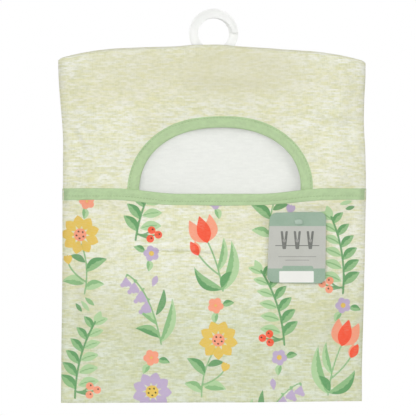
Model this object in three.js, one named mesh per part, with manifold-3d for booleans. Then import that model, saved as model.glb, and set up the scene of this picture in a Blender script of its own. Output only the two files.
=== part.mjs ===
// Peg bag: a cotton bag with a bound, arched mouth, hung on two plastic hangers set back to back.
// Millimetres, +Z up, the front faces -Y. The origin is where the washing line bears in the hooks.
import * as THREE from "three";
import { mergeVertices } from "three/addons/utils/BufferGeometryUtils.js";
import Module from "manifold-3d";

const wasm = await Module();
wasm.setup();

// Cloth layers and the fits between them
const CLOTH = 0.8;
const TAPE = 0.5;
const FIT = 0.3;
const SEAM_FIT = 0.3;

// Outline of the bag, measured on the outside of the cloth
const BAG_WIDTH = 301.5;
const SHOULDER_FLARE = 3.25;
const FLARE_FROM_Z = -125;
const FLARE_TO_Z = -50;
const SHOULDER_Z = -27.6;
const SHOULDER_SLOPE = 0.065;
const SHOULDER_RIDGE = 20;
const DROOP = 6.5;
const DROOP_LENGTH = 59;
const HEM_Z = -385;

// Fullness of the bag, measured inside from the plane of the seams
const SHOULDER_ROLL = 18;
const BODY_ROLL = 36;
const ROOF_ROLL = 8;
const ROOF_SQUARENESS = 3.5;
const HEM_ROLL = 70;
const FRONT_ROOM = 11.2;
const FRONT_BELLY = 15;
const BACK_ROOM = 9;
const BACK_BELLY = 10;
const BELLY_FROM_Z = -150;
const BELLY_TO_Z = -280;

// Slot in the top seam for the two hooks
const SLOT_LENGTH = 54;
const SLOT_FRONT = 7.9;
const SLOT_BACK = 5.6;
const SLOT_END_R = 3;
const SLOT_DEPTH = 6;
const SLOT_LIFT = 1.3;
const SLOT_LIFT_REACH = 34;

// Arched mouth and the bindings
const MOUTH_X = 6;
const MOUTH_HALF_WIDTH = 80.3;
const MOUTH_HEIGHT = 62;
const MOUTH_BASE_Z = -172;
const MOUTH_SQUARENESS = 2.2;
const MOUTH_LEAN = 1.5;
const BINDING_WIDTH = 11.6;
const POCKET_TOP_Z = -171;
const POCKET_SAG = 5.4;
const SAG_FLAT = 40;
const SAG_END = 105;
const YOKE_LAP = 11;
const STEP_FADE = 14;

// Hanger moulding
const HOOK_BORE_R = 15.4;
const HOOK_BAND = 9.3;
const HOOK_TIP_BAND = 6.6;
const HOOK_TIP_ANGLE = 9;
const HOOK_FOOT = 270;
const HOOK_RECESS_END = 216;
const HANGER_THICKNESS = 4.5;
const HANGER_FIT = 0.4;
const HANGER_SEAT = 0.5;
const ARM_END_ROOM = 13;
const ARM_DEPTH_MIDDLE = 24;
const ARM_DEPTH_END = 14;
const ARM_END_R = 7;
const RIM = 1.9;
const WEB = 3.3;
const BOSS_WIDTH = 26;
const RIB = 1.8;
const RIB_PITCH = 24;
const RIB_SLANT = 35;

// Swing tag and its nylon pin
const TAG_FROM_SIDE = 65.75;
const TAG_TOP_Z = -195.5;
const TAG_WIDTH = 56;
const TAG_HEIGHT = 71;
const TAG_CORNER_R = 6.5;
const TAG_CARD = 0.5;
const TAG_CLEARANCE = 0.6;
const PIN_DROP = 9;
const PIN_R = 0.6;
const PIN_HEAD_WIDTH = 8;
const PIN_HEAD_HEIGHT = 5;
const PIN_HEAD_THICKNESS = 0.8;
const PIN_BAR_LENGTH = 9;

// Fineness of the facets
const FLAT_STEPS = 18;
const ROLL_STEPS = 4;
const ROOF_STEPS = 5;
const HEM_STEPS = 5;
const WALL_PITCH = 18;
const ARCH_STEPS = 44;
const ARM_STEPS = 36;
const HOOK_SEGMENTS = 18;
const CORNER_SEGMENTS = 5;

// Each looks function names the surface that it is for
const looks = (color, roughness) => new THREE.MeshStandardMaterial({ color, roughness, metalness: 0 });
const CLOTH_LOOK = () => looks(0xe4e6cc, 0.95);
const TAPE_LOOK = () => looks(0xb7cfa1, 0.9);
const PLASTIC_LOOK = () => looks(0xf7f8f4, 0.4);
const CARD_LOOK = () => looks(0x9fb7a3, 0.7);
const NYLON_LOOK = () => looks(0xeef0ee, 0.35);

const { degToRad, lerp, smoothstep } = THREE.MathUtils;

// Solids: joining and cutting

function solidOf(geometry) {
  const plain = geometry.clone();
  for (const name of Object.keys(plain.attributes)) {
    if (name !== "position") plain.deleteAttribute(name);
  }
  const merged = mergeVertices(plain);
  return new wasm.Manifold(
    new wasm.Mesh({
      numProp: 3,
      vertProperties: new Float32Array(merged.attributes.position.array),
      triVerts: new Uint32Array(merged.index.array),
    }),
  );
}

function geometryOf(solid) {
  const { vertProperties, triVerts } = solid.getMesh();
  const geometry = new THREE.BufferGeometry();
  geometry.setAttribute("position", new THREE.BufferAttribute(new Float32Array(vertProperties), 3));
  geometry.setIndex(new THREE.BufferAttribute(new Uint32Array(triVerts), 1));
  geometry.computeVertexNormals();
  return geometry;
}

// A prism whose outline is drawn as seen from the front (X across, Z up), from frontY back to backY
function frontPrism(shape, frontY, backY, curveSegments = CORNER_SEGMENTS) {
  const geometry = new THREE.ExtrudeGeometry(shape, {
    depth: backY - frontY,
    bevelEnabled: false,
    curveSegments,
  });
  geometry.rotateX(Math.PI / 2);
  geometry.translate(0, backY, 0);
  return solidOf(geometry);
}

// A pin or hole along Y
function roundAlongY(radius, frontY, backY, x, z, curveSegments) {
  const shape = new THREE.Shape().absarc(x, z, radius, 0, 2 * Math.PI, false);
  return frontPrism(shape, frontY, backY, curveSegments);
}

function roundedRectangle(width, height, radius, centreX, centreZ) {
  const left = centreX - width / 2;
  const right = centreX + width / 2;
  const low = centreZ - height / 2;
  const high = centreZ + height / 2;
  const shape = new THREE.Shape();
  shape.absarc(right - radius, low + radius, radius, -Math.PI / 2, 0, false);
  shape.absarc(right - radius, high - radius, radius, 0, Math.PI / 2, false);
  shape.absarc(left + radius, high - radius, radius, Math.PI / 2, Math.PI, false);
  shape.absarc(left + radius, low + radius, radius, Math.PI, 1.5 * Math.PI, false);
  return shape;
}

// The bag's surface: a flat pillow that rolls in to the seams at its sides, top and hem

const BAG_HALF = BAG_WIDTH / 2;
const SHOULDER_HALF = BAG_HALF + SHOULDER_FLARE;

const insideHalf = (z) => lerp(BAG_HALF, SHOULDER_HALF, smoothstep(z, FLARE_FROM_Z, FLARE_TO_Z)) - CLOTH;

const sideRoll = (z) => lerp(BODY_ROLL, SHOULDER_ROLL, smoothstep(z, FLARE_FROM_Z, FLARE_TO_Z));

// Outside line of the shoulders, before the cloth lifts over the hook slot
function shoulderLine(x) {
  const ridge = Math.hypot(x, SHOULDER_RIDGE) - SHOULDER_RIDGE;
  const intoDroop = Math.max(0, Math.abs(x) - (SHOULDER_HALF - DROOP_LENGTH)) / DROOP_LENGTH;
  return SHOULDER_Z - SHOULDER_SLOPE * ridge - DROOP * intoDroop ** 2;
}

function roofLine(x) {
  const lift = SLOT_LIFT * (1 - smoothstep(Math.abs(x), SLOT_LENGTH / 2, SLOT_LIFT_REACH));
  return shoulderLine(x) - CLOTH + lift;
}

function fullness(room, belly, x, z) {
  const across = 1 - (x / BAG_HALF) ** 2;
  return room + (belly - room) * (1 - smoothstep(z, BELLY_TO_Z, BELLY_FROM_Z)) * across;
}

const FRONT = { sign: -1, depth: (x, z) => fullness(FRONT_ROOM, FRONT_BELLY, x, z) };
const BACK = { sign: 1, depth: (x, z) => fullness(BACK_ROOM, BACK_BELLY, x, z) };

// Rows run across the cloth. Each gives the height at x and the share of the full depth there.

const roofRow = (angle) => (x, offset) => {
  const power = 2 / ROOF_SQUARENESS;
  const fall = (ROOF_ROLL + offset) * (1 - Math.max(0, Math.cos(angle)) ** power);
  return { z: roofLine(x) + offset - fall, share: Math.sin(angle) ** power };
};

const wallRow = (part, upperZ, lowerZ) => (x) => ({ z: lerp(upperZ(x), lowerZ(x), part), share: 1 });

const hemRow = (angle) => (x, offset) => ({
  z: HEM_Z + CLOTH - offset + (HEM_ROLL + offset) * (1 - Math.sin(angle)),
  share: Math.cos(angle),
});

const roofRows = () =>
  Array.from({ length: ROOF_STEPS }, (_, k) => roofRow((k / ROOF_STEPS) * (Math.PI / 2)));

const hemRows = () =>
  Array.from({ length: HEM_STEPS }, (_, k) => hemRow(((k + 1) / HEM_STEPS) * (Math.PI / 2)));

function wallRows(upperZ, lowerZ) {
  const steps = Math.max(1, Math.round((upperZ(0) - lowerZ(0)) / WALL_PITCH));
  return Array.from({ length: steps + 1 }, (_, k) => wallRow(k / steps, upperZ, lowerZ));
}

const wallTop = (x) => roofLine(x) - ROOF_ROLL;
const hemTop = () => HEM_Z + CLOTH + HEM_ROLL;

// Columns run down the cloth: even steps across the flat, then the roll into each side seam
function clothColumns() {
  const evenly = Array.from({ length: FLAT_STEPS + 1 }, (_, k) => (2 * k) / FLAT_STEPS - 1);
  const flat = evenly.map((across) => ({ across, roll: 0 }));
  const rolls = Array.from({ length: ROLL_STEPS }, (_, k) => ((k + 1) / ROLL_STEPS) * (Math.PI / 2));
  const left = rolls.map((roll) => ({ across: -1, roll })).reverse();
  const right = rolls.map((roll) => ({ across: 1, roll }));
  return [...left, ...flat, ...right];
}

function clothPoint(side, row, column, offset, step) {
  const edgeZ = row(BAG_HALF, offset).z;
  const roll = sideRoll(edgeZ) + offset + step(BAG_HALF, edgeZ);
  const flatHalf = insideHalf(edgeZ) - sideRoll(edgeZ);
  const x = column.across * (flatHalf + roll * Math.sin(column.roll));
  const { z, share } = row(x, offset);
  const depth = (side.depth(x, z) + offset + step(x, z)) * share * Math.cos(column.roll);
  return [x, side.sign * (SEAM_FIT / 2 + depth), z];
}

// A closed layer of cloth between two offsets from the bag's inside surface
function clothLayer(side, rows, inner, outer, step = () => 0) {
  const columns = clothColumns();
  const offsets = [inner, outer];
  const points = offsets.flatMap((offset) =>
    rows.flatMap((row) => columns.flatMap((column) => clothPoint(side, row, column, offset, step))),
  );
  const lastRow = rows.length - 1;
  const lastColumn = columns.length - 1;
  const at = (layer, r, c) => (layer * rows.length + r) * columns.length + c;
  const triangles = [];
  for (let r = 0; r < lastRow; r += 1) {
    for (let c = 0; c < lastColumn; c += 1) {
      const [a, b, d, e] = [at(1, r, c), at(1, r + 1, c), at(1, r + 1, c + 1), at(1, r, c + 1)];
      triangles.push([a, b, d], [a, d, e]);
      const [f, g, h, i] = [at(0, r, c), at(0, r + 1, c), at(0, r + 1, c + 1), at(0, r, c + 1)];
      triangles.push([f, h, g], [f, i, h]);
    }
  }
  const rim = [];
  for (let r = 0; r < lastRow; r += 1) rim.push([r, 0]);
  for (let c = 0; c < lastColumn; c += 1) rim.push([lastRow, c]);
  for (let r = lastRow; r > 0; r -= 1) rim.push([r, lastColumn]);
  for (let c = lastColumn; c > 0; c -= 1) rim.push([0, c]);
  rim.forEach(([r, c], k) => {
    const [nextR, nextC] = rim[(k + 1) % rim.length];
    const [a, b] = [at(1, r, c), at(1, nextR, nextC)];
    const [f, g] = [at(0, r, c), at(0, nextR, nextC)];
    triangles.push([b, a, f], [b, f, g]);
  });
  const faces = side.sign < 0 ? triangles : triangles.map(([a, b, d]) => [a, d, b]);
  const geometry = new THREE.BufferGeometry();
  geometry.setAttribute("position", new THREE.Float32BufferAttribute(points, 3));
  geometry.setIndex(faces.flat());
  return solidOf(geometry);
}

// Cuts and lines shared by the panels and the bindings

// The pocket lies over the yoke's hem and over one leg of each binding
const POCKET_STEP = CLOTH + 2 * TAPE + 3 * FIT;
const FRONT_REACH = -2 * (FRONT_BELLY + POCKET_STEP);

// The yoke's hem is sewn behind the pocket's bound edge
const YOKE_HEM_Z = POCKET_TOP_Z - YOKE_LAP;

// The mouth's outline, grown outwards by a margin, with straight legs down past the yoke's hem
function mouthShape(margin) {
  const power = 2 / MOUTH_SQUARENESS;
  const halfWidth = MOUTH_HALF_WIDTH + margin;
  const height = MOUTH_HEIGHT + margin;
  const legZ = YOKE_HEM_Z - STEP_FADE;
  const points = [MOUTH_X - halfWidth, MOUTH_X + halfWidth].map((x) => new THREE.Vector2(x, legZ));
  for (let k = 0; k <= ARCH_STEPS; k += 1) {
    const angle = (k / ARCH_STEPS) * Math.PI;
    const cosine = Math.cos(angle);
    const up = Math.max(0, Math.sin(angle)) ** power;
    const x = MOUTH_X + MOUTH_LEAN * up + halfWidth * Math.sign(cosine) * Math.abs(cosine) ** power;
    points.push(new THREE.Vector2(x, MOUTH_BASE_Z + height * up));
  }
  return new THREE.Shape(points);
}

const mouthPrism = (margin) => frontPrism(mouthShape(margin), FRONT_REACH, 0);

// The pocket's bound top edge sags where it crosses the mouth
function pocketTop(x) {
  return POCKET_TOP_Z - POCKET_SAG * (1 - smoothstep(Math.abs(x - MOUTH_X), SAG_FLAT, SAG_END));
}

const bindingHem = (x) => pocketTop(x) - BINDING_WIDTH;
const stepEnd = (x) => bindingHem(x) - STEP_FADE;

// The pocket steps back to the seams below its binding
const pocketStep = (x, z) => POCKET_STEP * smoothstep(z, stepEnd(x), bindingHem(x));

function slotCut() {
  const depth = SLOT_FRONT + SLOT_BACK;
  const shape = roundedRectangle(SLOT_LENGTH, depth, SLOT_END_R, 0, (SLOT_BACK - SLOT_FRONT) / 2);
  const geometry = new THREE.ExtrudeGeometry(shape, {
    depth: SLOT_DEPTH + SLOT_LIFT + CLOTH,
    bevelEnabled: false,
    curveSegments: CORNER_SEGMENTS,
  });
  geometry.translate(0, 0, SHOULDER_Z - SLOT_DEPTH);
  return solidOf(geometry);
}

// Cloth pieces

function backPanel() {
  const rows = [...roofRows(), ...wallRows(wallTop, hemTop), ...hemRows()];
  return clothLayer(BACK, rows, 0, CLOTH).subtract(slotCut());
}

function frontUpperPanel() {
  const rows = [...roofRows(), ...wallRows(wallTop, () => YOKE_HEM_Z)];
  const panel = clothLayer(FRONT, rows, 0, CLOTH);
  return panel.subtract(slotCut()).subtract(mouthPrism(TAPE + FIT));
}

function pocketPanel() {
  const rawEdge = (x) => pocketTop(x) - TAPE - FIT;
  const rows = [
    ...wallRows(rawEdge, bindingHem),
    ...wallRows(bindingHem, stepEnd).slice(1),
    ...wallRows(stepEnd, hemTop).slice(1),
    ...hemRows(),
  ];
  const panel = clothLayer(FRONT, rows, 0, CLOTH, pocketStep);
  return panel.subtract(roundAlongY(PIN_R + FIT, FRONT_REACH, 0, TAG_X, PIN_Z));
}

// Folded tape: a U section whose fold caps the cloth's raw edge
function mouthBinding() {
  const above = () => MOUTH_BASE_Z + MOUTH_HEIGHT + 2 * BINDING_WIDTH;
  const tape = clothLayer(FRONT, wallRows(above, () => YOKE_HEM_Z), -FIT - TAPE, CLOTH + FIT + TAPE);
  const inside = clothLayer(FRONT, wallRows(above, () => YOKE_HEM_Z - FIT), -FIT, CLOTH + FIT);
  const band = mouthPrism(BINDING_WIDTH).subtract(mouthPrism(0));
  return tape.intersect(band).subtract(inside.subtract(mouthPrism(TAPE)));
}

function pocketBinding() {
  const fold = (x) => pocketTop(x) - TAPE;
  const past = (x) => bindingHem(x) - FIT;
  const rows = wallRows(pocketTop, bindingHem);
  const tape = clothLayer(FRONT, rows, -FIT - TAPE, CLOTH + FIT + TAPE, pocketStep);
  const inside = clothLayer(FRONT, wallRows(fold, past), -FIT, CLOTH + FIT, pocketStep);
  return tape.subtract(inside);
}

// Hanger moulding: rimmed arms with slanted ribs, and a rimmed hook that narrows to its tip

const HOOK_Z = -HOOK_BORE_R;
const HOOK_R = HOOK_BORE_R + HOOK_BAND;
const HANGER_BACK_Y = -HANGER_FIT / 2;
const HANGER_FRONT_Y = HANGER_BACK_Y - HANGER_THICKNESS;
const RECESS_Y = HANGER_BACK_Y - WEB;
const ARM_HALF = SHOULDER_HALF - ARM_END_ROOM;

const armTop = (x) => shoulderLine(x) - CLOTH - HANGER_SEAT;
const armDepth = (x) => lerp(ARM_DEPTH_MIDDLE, ARM_DEPTH_END, Math.abs(x) / ARM_HALF);

function armShape(inset) {
  const half = ARM_HALF - inset;
  const edge = (k) => {
    const x = half * Math.sin((k / ARM_STEPS - 0.5) * Math.PI);
    const nearEnd = Math.max(0, Math.abs(x) - (half - ARM_END_R)) / ARM_END_R;
    const rounding = Math.sqrt(Math.max(0, 1 - nearEnd ** 2));
    const halfDepth = (armDepth(x) / 2 - inset) * rounding;
    return { x, middle: armTop(x) - armDepth(x) / 2, halfDepth };
  };
  const edges = Array.from({ length: ARM_STEPS + 1 }, (_, k) => edge(k));
  const lower = edges.map((at) => new THREE.Vector2(at.x, at.middle - at.halfDepth));
  const upper = edges.map((at) => new THREE.Vector2(at.x, at.middle + at.halfDepth));
  return new THREE.Shape([...lower, ...upper.slice(1, -1).reverse()]);
}

// The hook runs from the boss up the left side and over the line to a round tip. An inset draws its
// outline smaller all round, for the recess between its rims, which stops above the boss.
function hookShape(inset, footAngle) {
  const tip = degToRad(HOOK_TIP_ANGLE);
  const tipReach = HOOK_R - HOOK_TIP_BAND / 2;
  const foot = degToRad(footAngle);
  const shape = new THREE.Shape();
  shape.absarc(0, HOOK_Z, HOOK_R - inset, foot, tip, true);
  shape.absarc(
    tipReach * Math.cos(tip),
    HOOK_Z + tipReach * Math.sin(tip),
    HOOK_TIP_BAND / 2 - inset,
    tip,
    tip + Math.PI,
    true,
  );
  const boreR = HOOK_BORE_R + inset;
  const tipInnerR = HOOK_R - HOOK_TIP_BAND + inset;
  const innerStart = Math.asin((tipInnerR / boreR) * Math.sin(tip));
  shape.absellipse(0, HOOK_Z, tipInnerR, boreR, innerStart, Math.PI / 2, false, 0);
  shape.absarc(0, HOOK_Z, boreR, Math.PI / 2, foot, false);
  return shape;
}

function armRibs() {
  const tall = 3 * ARM_DEPTH_MIDDLE;
  const deep = 2 * HANGER_THICKNESS;
  const block = (width, x, slant) => {
    const geometry = new THREE.BoxGeometry(width, deep, tall);
    geometry.rotateY(slant);
    geometry.translate(x, HANGER_FRONT_Y, armTop(x) - armDepth(x) / 2);
    return solidOf(geometry);
  };
  let ribs = block(BOSS_WIDTH, 0, 0);
  let slant = degToRad(RIB_SLANT);
  for (let x = BOSS_WIDTH / 2 + RIB_PITCH / 2; x < ARM_HALF - ARM_END_R; x += RIB_PITCH) {
    ribs = ribs.add(block(RIB, x, slant)).add(block(RIB, -x, -slant));
    slant = -slant;
  }
  return ribs;
}

function hangerMoulding() {
  const front = HANGER_FRONT_Y - FIT;
  const bore = roundAlongY(HOOK_BORE_R, front, HANGER_BACK_Y + FIT, 0, HOOK_Z, HOOK_SEGMENTS);
  const arms = frontPrism(armShape(0), HANGER_FRONT_Y, HANGER_BACK_Y).subtract(bore);
  const hook = frontPrism(hookShape(0, HOOK_FOOT), HANGER_FRONT_Y, HANGER_BACK_Y, HOOK_SEGMENTS);
  const armRecess = frontPrism(armShape(RIM), front, RECESS_Y).subtract(armRibs());
  const hookRecess = frontPrism(hookShape(RIM, HOOK_RECESS_END), front, RECESS_Y, HOOK_SEGMENTS);
  return arms.add(hook).subtract(armRecess).subtract(hookRecess);
}

// Tag and pin: the pin goes through the tag and the pocket's cloth, and its bar lies inside the bag

const TAG_X = BAG_HALF - TAG_FROM_SIDE;
const PIN_Z = TAG_TOP_Z - PIN_DROP;
const bindingFrontY = (x) => {
  return -(SEAM_FIT / 2 + FRONT.depth(x, bindingHem(x)) + POCKET_STEP + CLOTH + FIT + TAPE);
};
const TAG_BACK_Y = bindingFrontY(TAG_X - TAG_WIDTH / 2) - TAG_CLEARANCE;
const TAG_FRONT_Y = TAG_BACK_Y - TAG_CARD;
const POCKET_INNER_Y = -(SEAM_FIT / 2 + FRONT.depth(TAG_X, PIN_Z) + pocketStep(TAG_X, PIN_Z));

function swingTag() {
  const outline = roundedRectangle(TAG_WIDTH, TAG_HEIGHT, TAG_CORNER_R, TAG_X, TAG_TOP_Z - TAG_HEIGHT / 2);
  const card = frontPrism(outline, TAG_FRONT_Y, TAG_BACK_Y);
  return card.subtract(roundAlongY(PIN_R + FIT, TAG_FRONT_Y - FIT, TAG_BACK_Y + FIT, TAG_X, PIN_Z));
}

function tagPin() {
  const headBack = TAG_FRONT_Y - FIT;
  const headR = PIN_HEAD_HEIGHT / 2 - FIT;
  const headShape = roundedRectangle(PIN_HEAD_WIDTH, PIN_HEAD_HEIGHT, headR, TAG_X, PIN_Z);
  const head = frontPrism(headShape, headBack - PIN_HEAD_THICKNESS, headBack);
  const barY = POCKET_INNER_Y + FIT + PIN_R;
  const shank = roundAlongY(PIN_R, headBack - PIN_HEAD_THICKNESS / 2, barY, TAG_X, PIN_Z);
  const bar = new THREE.CylinderGeometry(PIN_R, PIN_R, PIN_BAR_LENGTH, 2 * CORNER_SEGMENTS);
  bar.rotateZ(Math.PI / 2);
  bar.translate(TAG_X, barY, PIN_Z);
  return head.add(shank).add(solidOf(bar));
}

// The assembled bag

function piece(name, geometry, material) {
  const mesh = new THREE.Mesh(geometry, material);
  mesh.name = name;
  return mesh;
}

const moulding = geometryOf(hangerMoulding());
const hangerFront = piece("hanger_front", moulding, PLASTIC_LOOK());
const hangerRear = piece("hanger_rear", moulding.clone(), PLASTIC_LOOK());
hangerRear.rotation.z = Math.PI;

const pegBag = new THREE.Group();
pegBag.add(
  hangerRear,
  hangerFront,
  piece("back_panel", geometryOf(backPanel()), CLOTH_LOOK()),
  piece("front_upper_panel", geometryOf(frontUpperPanel()), CLOTH_LOOK()),
  piece("pocket_panel", geometryOf(pocketPanel()), CLOTH_LOOK()),
  piece("mouth_binding", geometryOf(mouthBinding()), TAPE_LOOK()),
  piece("pocket_binding", geometryOf(pocketBinding()), TAPE_LOOK()),
  piece("swing_tag", geometryOf(swingTag()), CARD_LOOK()),
  piece("tag_pin", geometryOf(tagPin()), NYLON_LOOK()),
);

export default pegBag;
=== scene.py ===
"""Peg bag on a double hanger: printed cotton, bound in green tape, with a swing tag."""

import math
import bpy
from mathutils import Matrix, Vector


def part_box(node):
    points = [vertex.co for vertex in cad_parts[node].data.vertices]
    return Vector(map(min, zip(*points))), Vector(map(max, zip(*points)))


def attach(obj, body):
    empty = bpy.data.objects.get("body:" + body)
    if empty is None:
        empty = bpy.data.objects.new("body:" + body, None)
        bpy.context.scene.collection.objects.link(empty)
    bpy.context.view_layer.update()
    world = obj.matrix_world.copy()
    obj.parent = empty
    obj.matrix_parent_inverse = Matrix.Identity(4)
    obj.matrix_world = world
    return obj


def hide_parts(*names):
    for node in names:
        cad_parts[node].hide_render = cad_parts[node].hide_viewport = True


bl_info = {
    "name": "Peg bag on a double hanger",
    "version": (1, 0, 0),
    "blender": (4, 5, 0),
    "location": "View3D > Sidebar > Peg bag",
    "description": "Dresses the peg bag's solids in cloth, tape, plastic and card",
    "category": "Object",
}

from contextlib import contextmanager

import bpy
import numpy as np
from mathutils import Matrix, Vector

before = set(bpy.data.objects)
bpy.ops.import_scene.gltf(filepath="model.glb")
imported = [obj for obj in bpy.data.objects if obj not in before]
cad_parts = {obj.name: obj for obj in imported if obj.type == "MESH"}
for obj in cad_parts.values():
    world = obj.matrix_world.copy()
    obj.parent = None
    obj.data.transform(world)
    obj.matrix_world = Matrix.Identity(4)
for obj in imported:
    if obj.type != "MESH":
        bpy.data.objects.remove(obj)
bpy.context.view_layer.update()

MM = 0.001
FRONT = -1
BACK = 1

# Outline of the hung bag, in millimetres: x across, z up from the washing line
SHOULDER_Z = -27.6
SHOULDER_SLOPE = 0.065
SHOULDER_RIDGE = 20
DROOP = 6.5
DROOP_LENGTH = 59
CORNER_LENGTH = 5
CORNER_DROP = 1.7
FLARE_FROM_Z = -125
FLARE_TO_Z = -50
HEM_Z = -385

# Fullness of the bag, from the plane of its seams, and the cloth's own room on it
CLOTH_ROOM = 0.8
SEAM_GAP = 0.15
FRONT_ROOM = 11.2
FRONT_BELLY = 15
BACK_ROOM = 9
BACK_BELLY = 10
BELLY_FROM_Z = -150
BELLY_TO_Z = -280
ROOF_ROLL = 8
ROOF_SQUARENESS = 3.5
RIDGE_DIP = 0.5
RIDGE_SHARPNESS = 9
SIDE_ROLL_BODY = 44
SIDE_ROLL_SHOULDER = 32
HEM_ROLL = 115

# Slot for the hooks in the top seam, and how the seam lifts round it
SLOT_HALF = 27.5
SLOT_FRONT = 7.9
SLOT_BACK = 5.6
SLOT_SQUARENESS = 5
SLOT_LIFT = 1.3
SLOT_LIFT_X = -5
SLOT_LIFT_FLAT = 12
SLOT_LIFT_REACH = 36

# Bulk of the seam allowance, turned inside along the sides and the hem
SEAM_BULK = 1.5
SEAM_ROUND = 3
SEAM_FADE = 16
SEAM_STEPS = [0.3, 0.8, 1.5]

# Cloth pressed flat where the seams hold it: its share left standing, and how far that reaches
PRESSED_SHARE = 0.3
PRESSED_REACH = 7

# Distances from the sides, the roof and the hem over which creases come in
CALM_SIDE = (1, 24)
CALM_ROOF = (10, 34)
CALM_HEM = (2, 26)

# Waver of the seams: reach, and the waves' heights, lengths and starts
SIDE_WAVER_REACH = 36
SIDE_WAVER_TOP = (-120, -70)
HEM_WAVER_REACH = 60
HEM_WAVES = [(1.3, 31, 0.8), (0.6, 13, 2.1)]

# How far the cloth round and behind the mouth hangs into the bag, and where
ARCH_LEAN = 7
ARCH_LEAN_REACH = 0.28
ARCH_FOOT = 22
LIP_LEAN = 9
LIP_REACH = (12, 42)
BACK_SLACK = 7
HANGER_SLACK = 3.5
SLACK_HALF = 122
SLACK_FOOT_Z = (-225, -170)
HANGER_EDGE_Z = (-120, -96)
HANGER_TOP_Z = (-96, -56)

# Mouth, pocket edge and bindings
MOUTH_X = 6
MOUTH_LEAN = 1.5
MOUTH_BASE_Z = -172
MOUTH_SQUARENESS = 2.2
POCKET_TOP_Z = -171
POCKET_SAG = 5.4
SAG_FLAT = 40
SAG_END = 105
YOKE_HEM_Z = -182
POCKET_STEP = 2.7
STEP_FADE = 14
RAW_EDGE = 4

# Where the stitches run: their share of the tape's width from its fold, their height, the fold's length
MOUTH_SEWN = 0.85
POCKET_SEWN = 0.65
STITCH_HEIGHT = 1.46

# How the cloth hangs out of true: how far each side seam stands off its straight line
LEFT_SEAM = [(-385, -2.2), (-250, -0.8), (-122, -0.4), (-47, -2.0), (-25, -2.2)]
RIGHT_SEAM = [
    (-385, -2.2), (-355, -2.2), (-290, -0.4), (-240, 0.7), (-200, 1.5),
    (-160, 2.3), (-128, 1.4), (-104, -0.6), (-80, -1.6), (-47, -1.4),
]

# How far in the sides' stray is felt, and how far the top and the hem hang out of level
STRAY_FROM = 0.25
TOP_SLANT_Z = (-110, -40)
HEM_SLANT_Z = (-300, -385)
TOP_LIFT_LEFT = 2.1
TOP_DROP_RIGHT = 0.5
HEM_DROP = 0.9
HEM_DROP_LEFT = 0.4
HEM_LIFT_RIGHT = 1.4

# Folds of each face: start and end (across, up), width, and height with a minus for a hollow
FRONT_FOLDS = [
    ((-149, -94), (-120, -134), 3.5, 1.5),
    ((-150, -101), (-124, -139), 2.6, -1.3),
    ((-122, -60), (-84, -160), 13, 1.3),
    ((140, -60), (112, -150), 9, 1.9),
    ((128, -58), (101, -142), 8, -1.4),
    ((100, -94), (146, -100), 6, 1.5),
    ((98, -106), (146, -113), 6, -1.7),
    ((-40, -58), (75, -62), 9, 1.2),
    ((-70, -72), (90, -76), 10, -0.9),
    ((-66, -230.6), (56, -233.8), 2.4, 1.5),
    ((-62, -239), (52, -242), 4.0, -1.0),
    ((-66, -233.4), (6, -236.8), 1.35, -3.0),
    ((-80, -190), (-38, -222), 4.5, 2.0),
    ((-70, -190), (-28, -219), 4.0, -1.3),
    ((117, -183), (120, -207), 1.1, -1.5),
    ((-120, -205), (-132, -300), 10, 1.6),
    ((-104, -230), (-118, -330), 9, -1.2),
    ((30, -250), (-20, -350), 15, 1.5),
    ((118, -290), (84, -368), 12, 1.7),
    ((136, -270), (110, -366), 9, -1.3),
    ((-92, -300), (-70, -372), 11, -1.4),
    ((-20, -376), (60, -360), 7, 1.0),
]
BACK_FOLDS = [
    ((-128, -56), (-60, -190), 13, 2.2),
    ((-106, -52), (-40, -180), 11, -1.6),
    ((128, -62), (70, -220), 12, 2.2),
    ((110, -60), (50, -210), 10, -1.6),
    ((-70, -232), (80, -236), 2.4, 1.2),
    ((-20, -260), (-64, -372), 14, 2.2),
    ((14, -270), (-26, -374), 12, -1.6),
    ((96, -282), (70, -372), 11, 1.9),
    ((-110, -220), (-124, -360), 12, -1.7),
]

# Darker beige patches of the upper front, partly the cloth's own beige and partly painted shade of the
# hanger and seam allowance behind: middle across and up, reach across and up, strength
SHADED_BEIGE_PATCHES = [(24, -52, 98, 43, 0.58), (-88, -46, 56, 40, 0.34)]

# Tag and pin
TAG_X = 85
TAG_TOP_Z = -195.5
PIN_Z = -204.5
TAG_SWEEP = 74
TAG_CALM = 0.92
TAG_SHIFT_X = 1.5
TAG_LIFT = 0.85
TAG_CUTS = 12
PIN_HOLE = 0.9

# The print's repeat: columns, rows, place of the first sprig, size and leanings of the sprigs
REPEAT_X = 64.0
REPEAT_Z = 104.0
REPEAT_TOP_Z = -236
SPRIG_SIZE = 0.94
SPRIG_TURNS = (17, -14, 9, -21)

# Camera and stage, in metres
CAMERA_DISTANCE = 3.0
CAMERA_X = -0.0056
CAMERA_Z = -0.1906
CLOTH_PLANE = 0.012
SEEN_WIDTH = 0.416
SENSOR_WIDTH = 36
FLOOR_RADIUS = 0.42
FLOOR_Z = -0.6
SURROUND_LIGHT = 0.3
LAMP_AIM = (0, 0, -0.2)

# Soft lamps: name, place, width and power
LAMPS = [
    ("key", (-0.1, -1.3, -0.04), 1.1, 4.5),
    ("front", (-0.5, -1.55, 0.02), 1.6, 6.9),
    ("top", (0.1, -0.7, 2.0), 1.5, 8.0),
    ("left", (-2.3, -0.5, 0.1), 1.4, 7.0),
    ("right", (1.6, -1.6, 0.1), 1.0, 11.5),
    ("back", (1.0, 2.0, 0.5), 1.4, 46.0),
]

# The cloth's flat plan: length of the roof's run over the ridge, and where the back is cut from
ROOF_DEPTH = 10
BACK_CUT_X = 400

# Fineness of the meshes
PANEL_PITCH = 2.1
PRINT_PITCH = 1.28
ROOF_ROWS = 9
TAPE_PITCH = 1.6
FOOT_POINTS = 24
ROUGH_POINTS = 64


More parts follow.
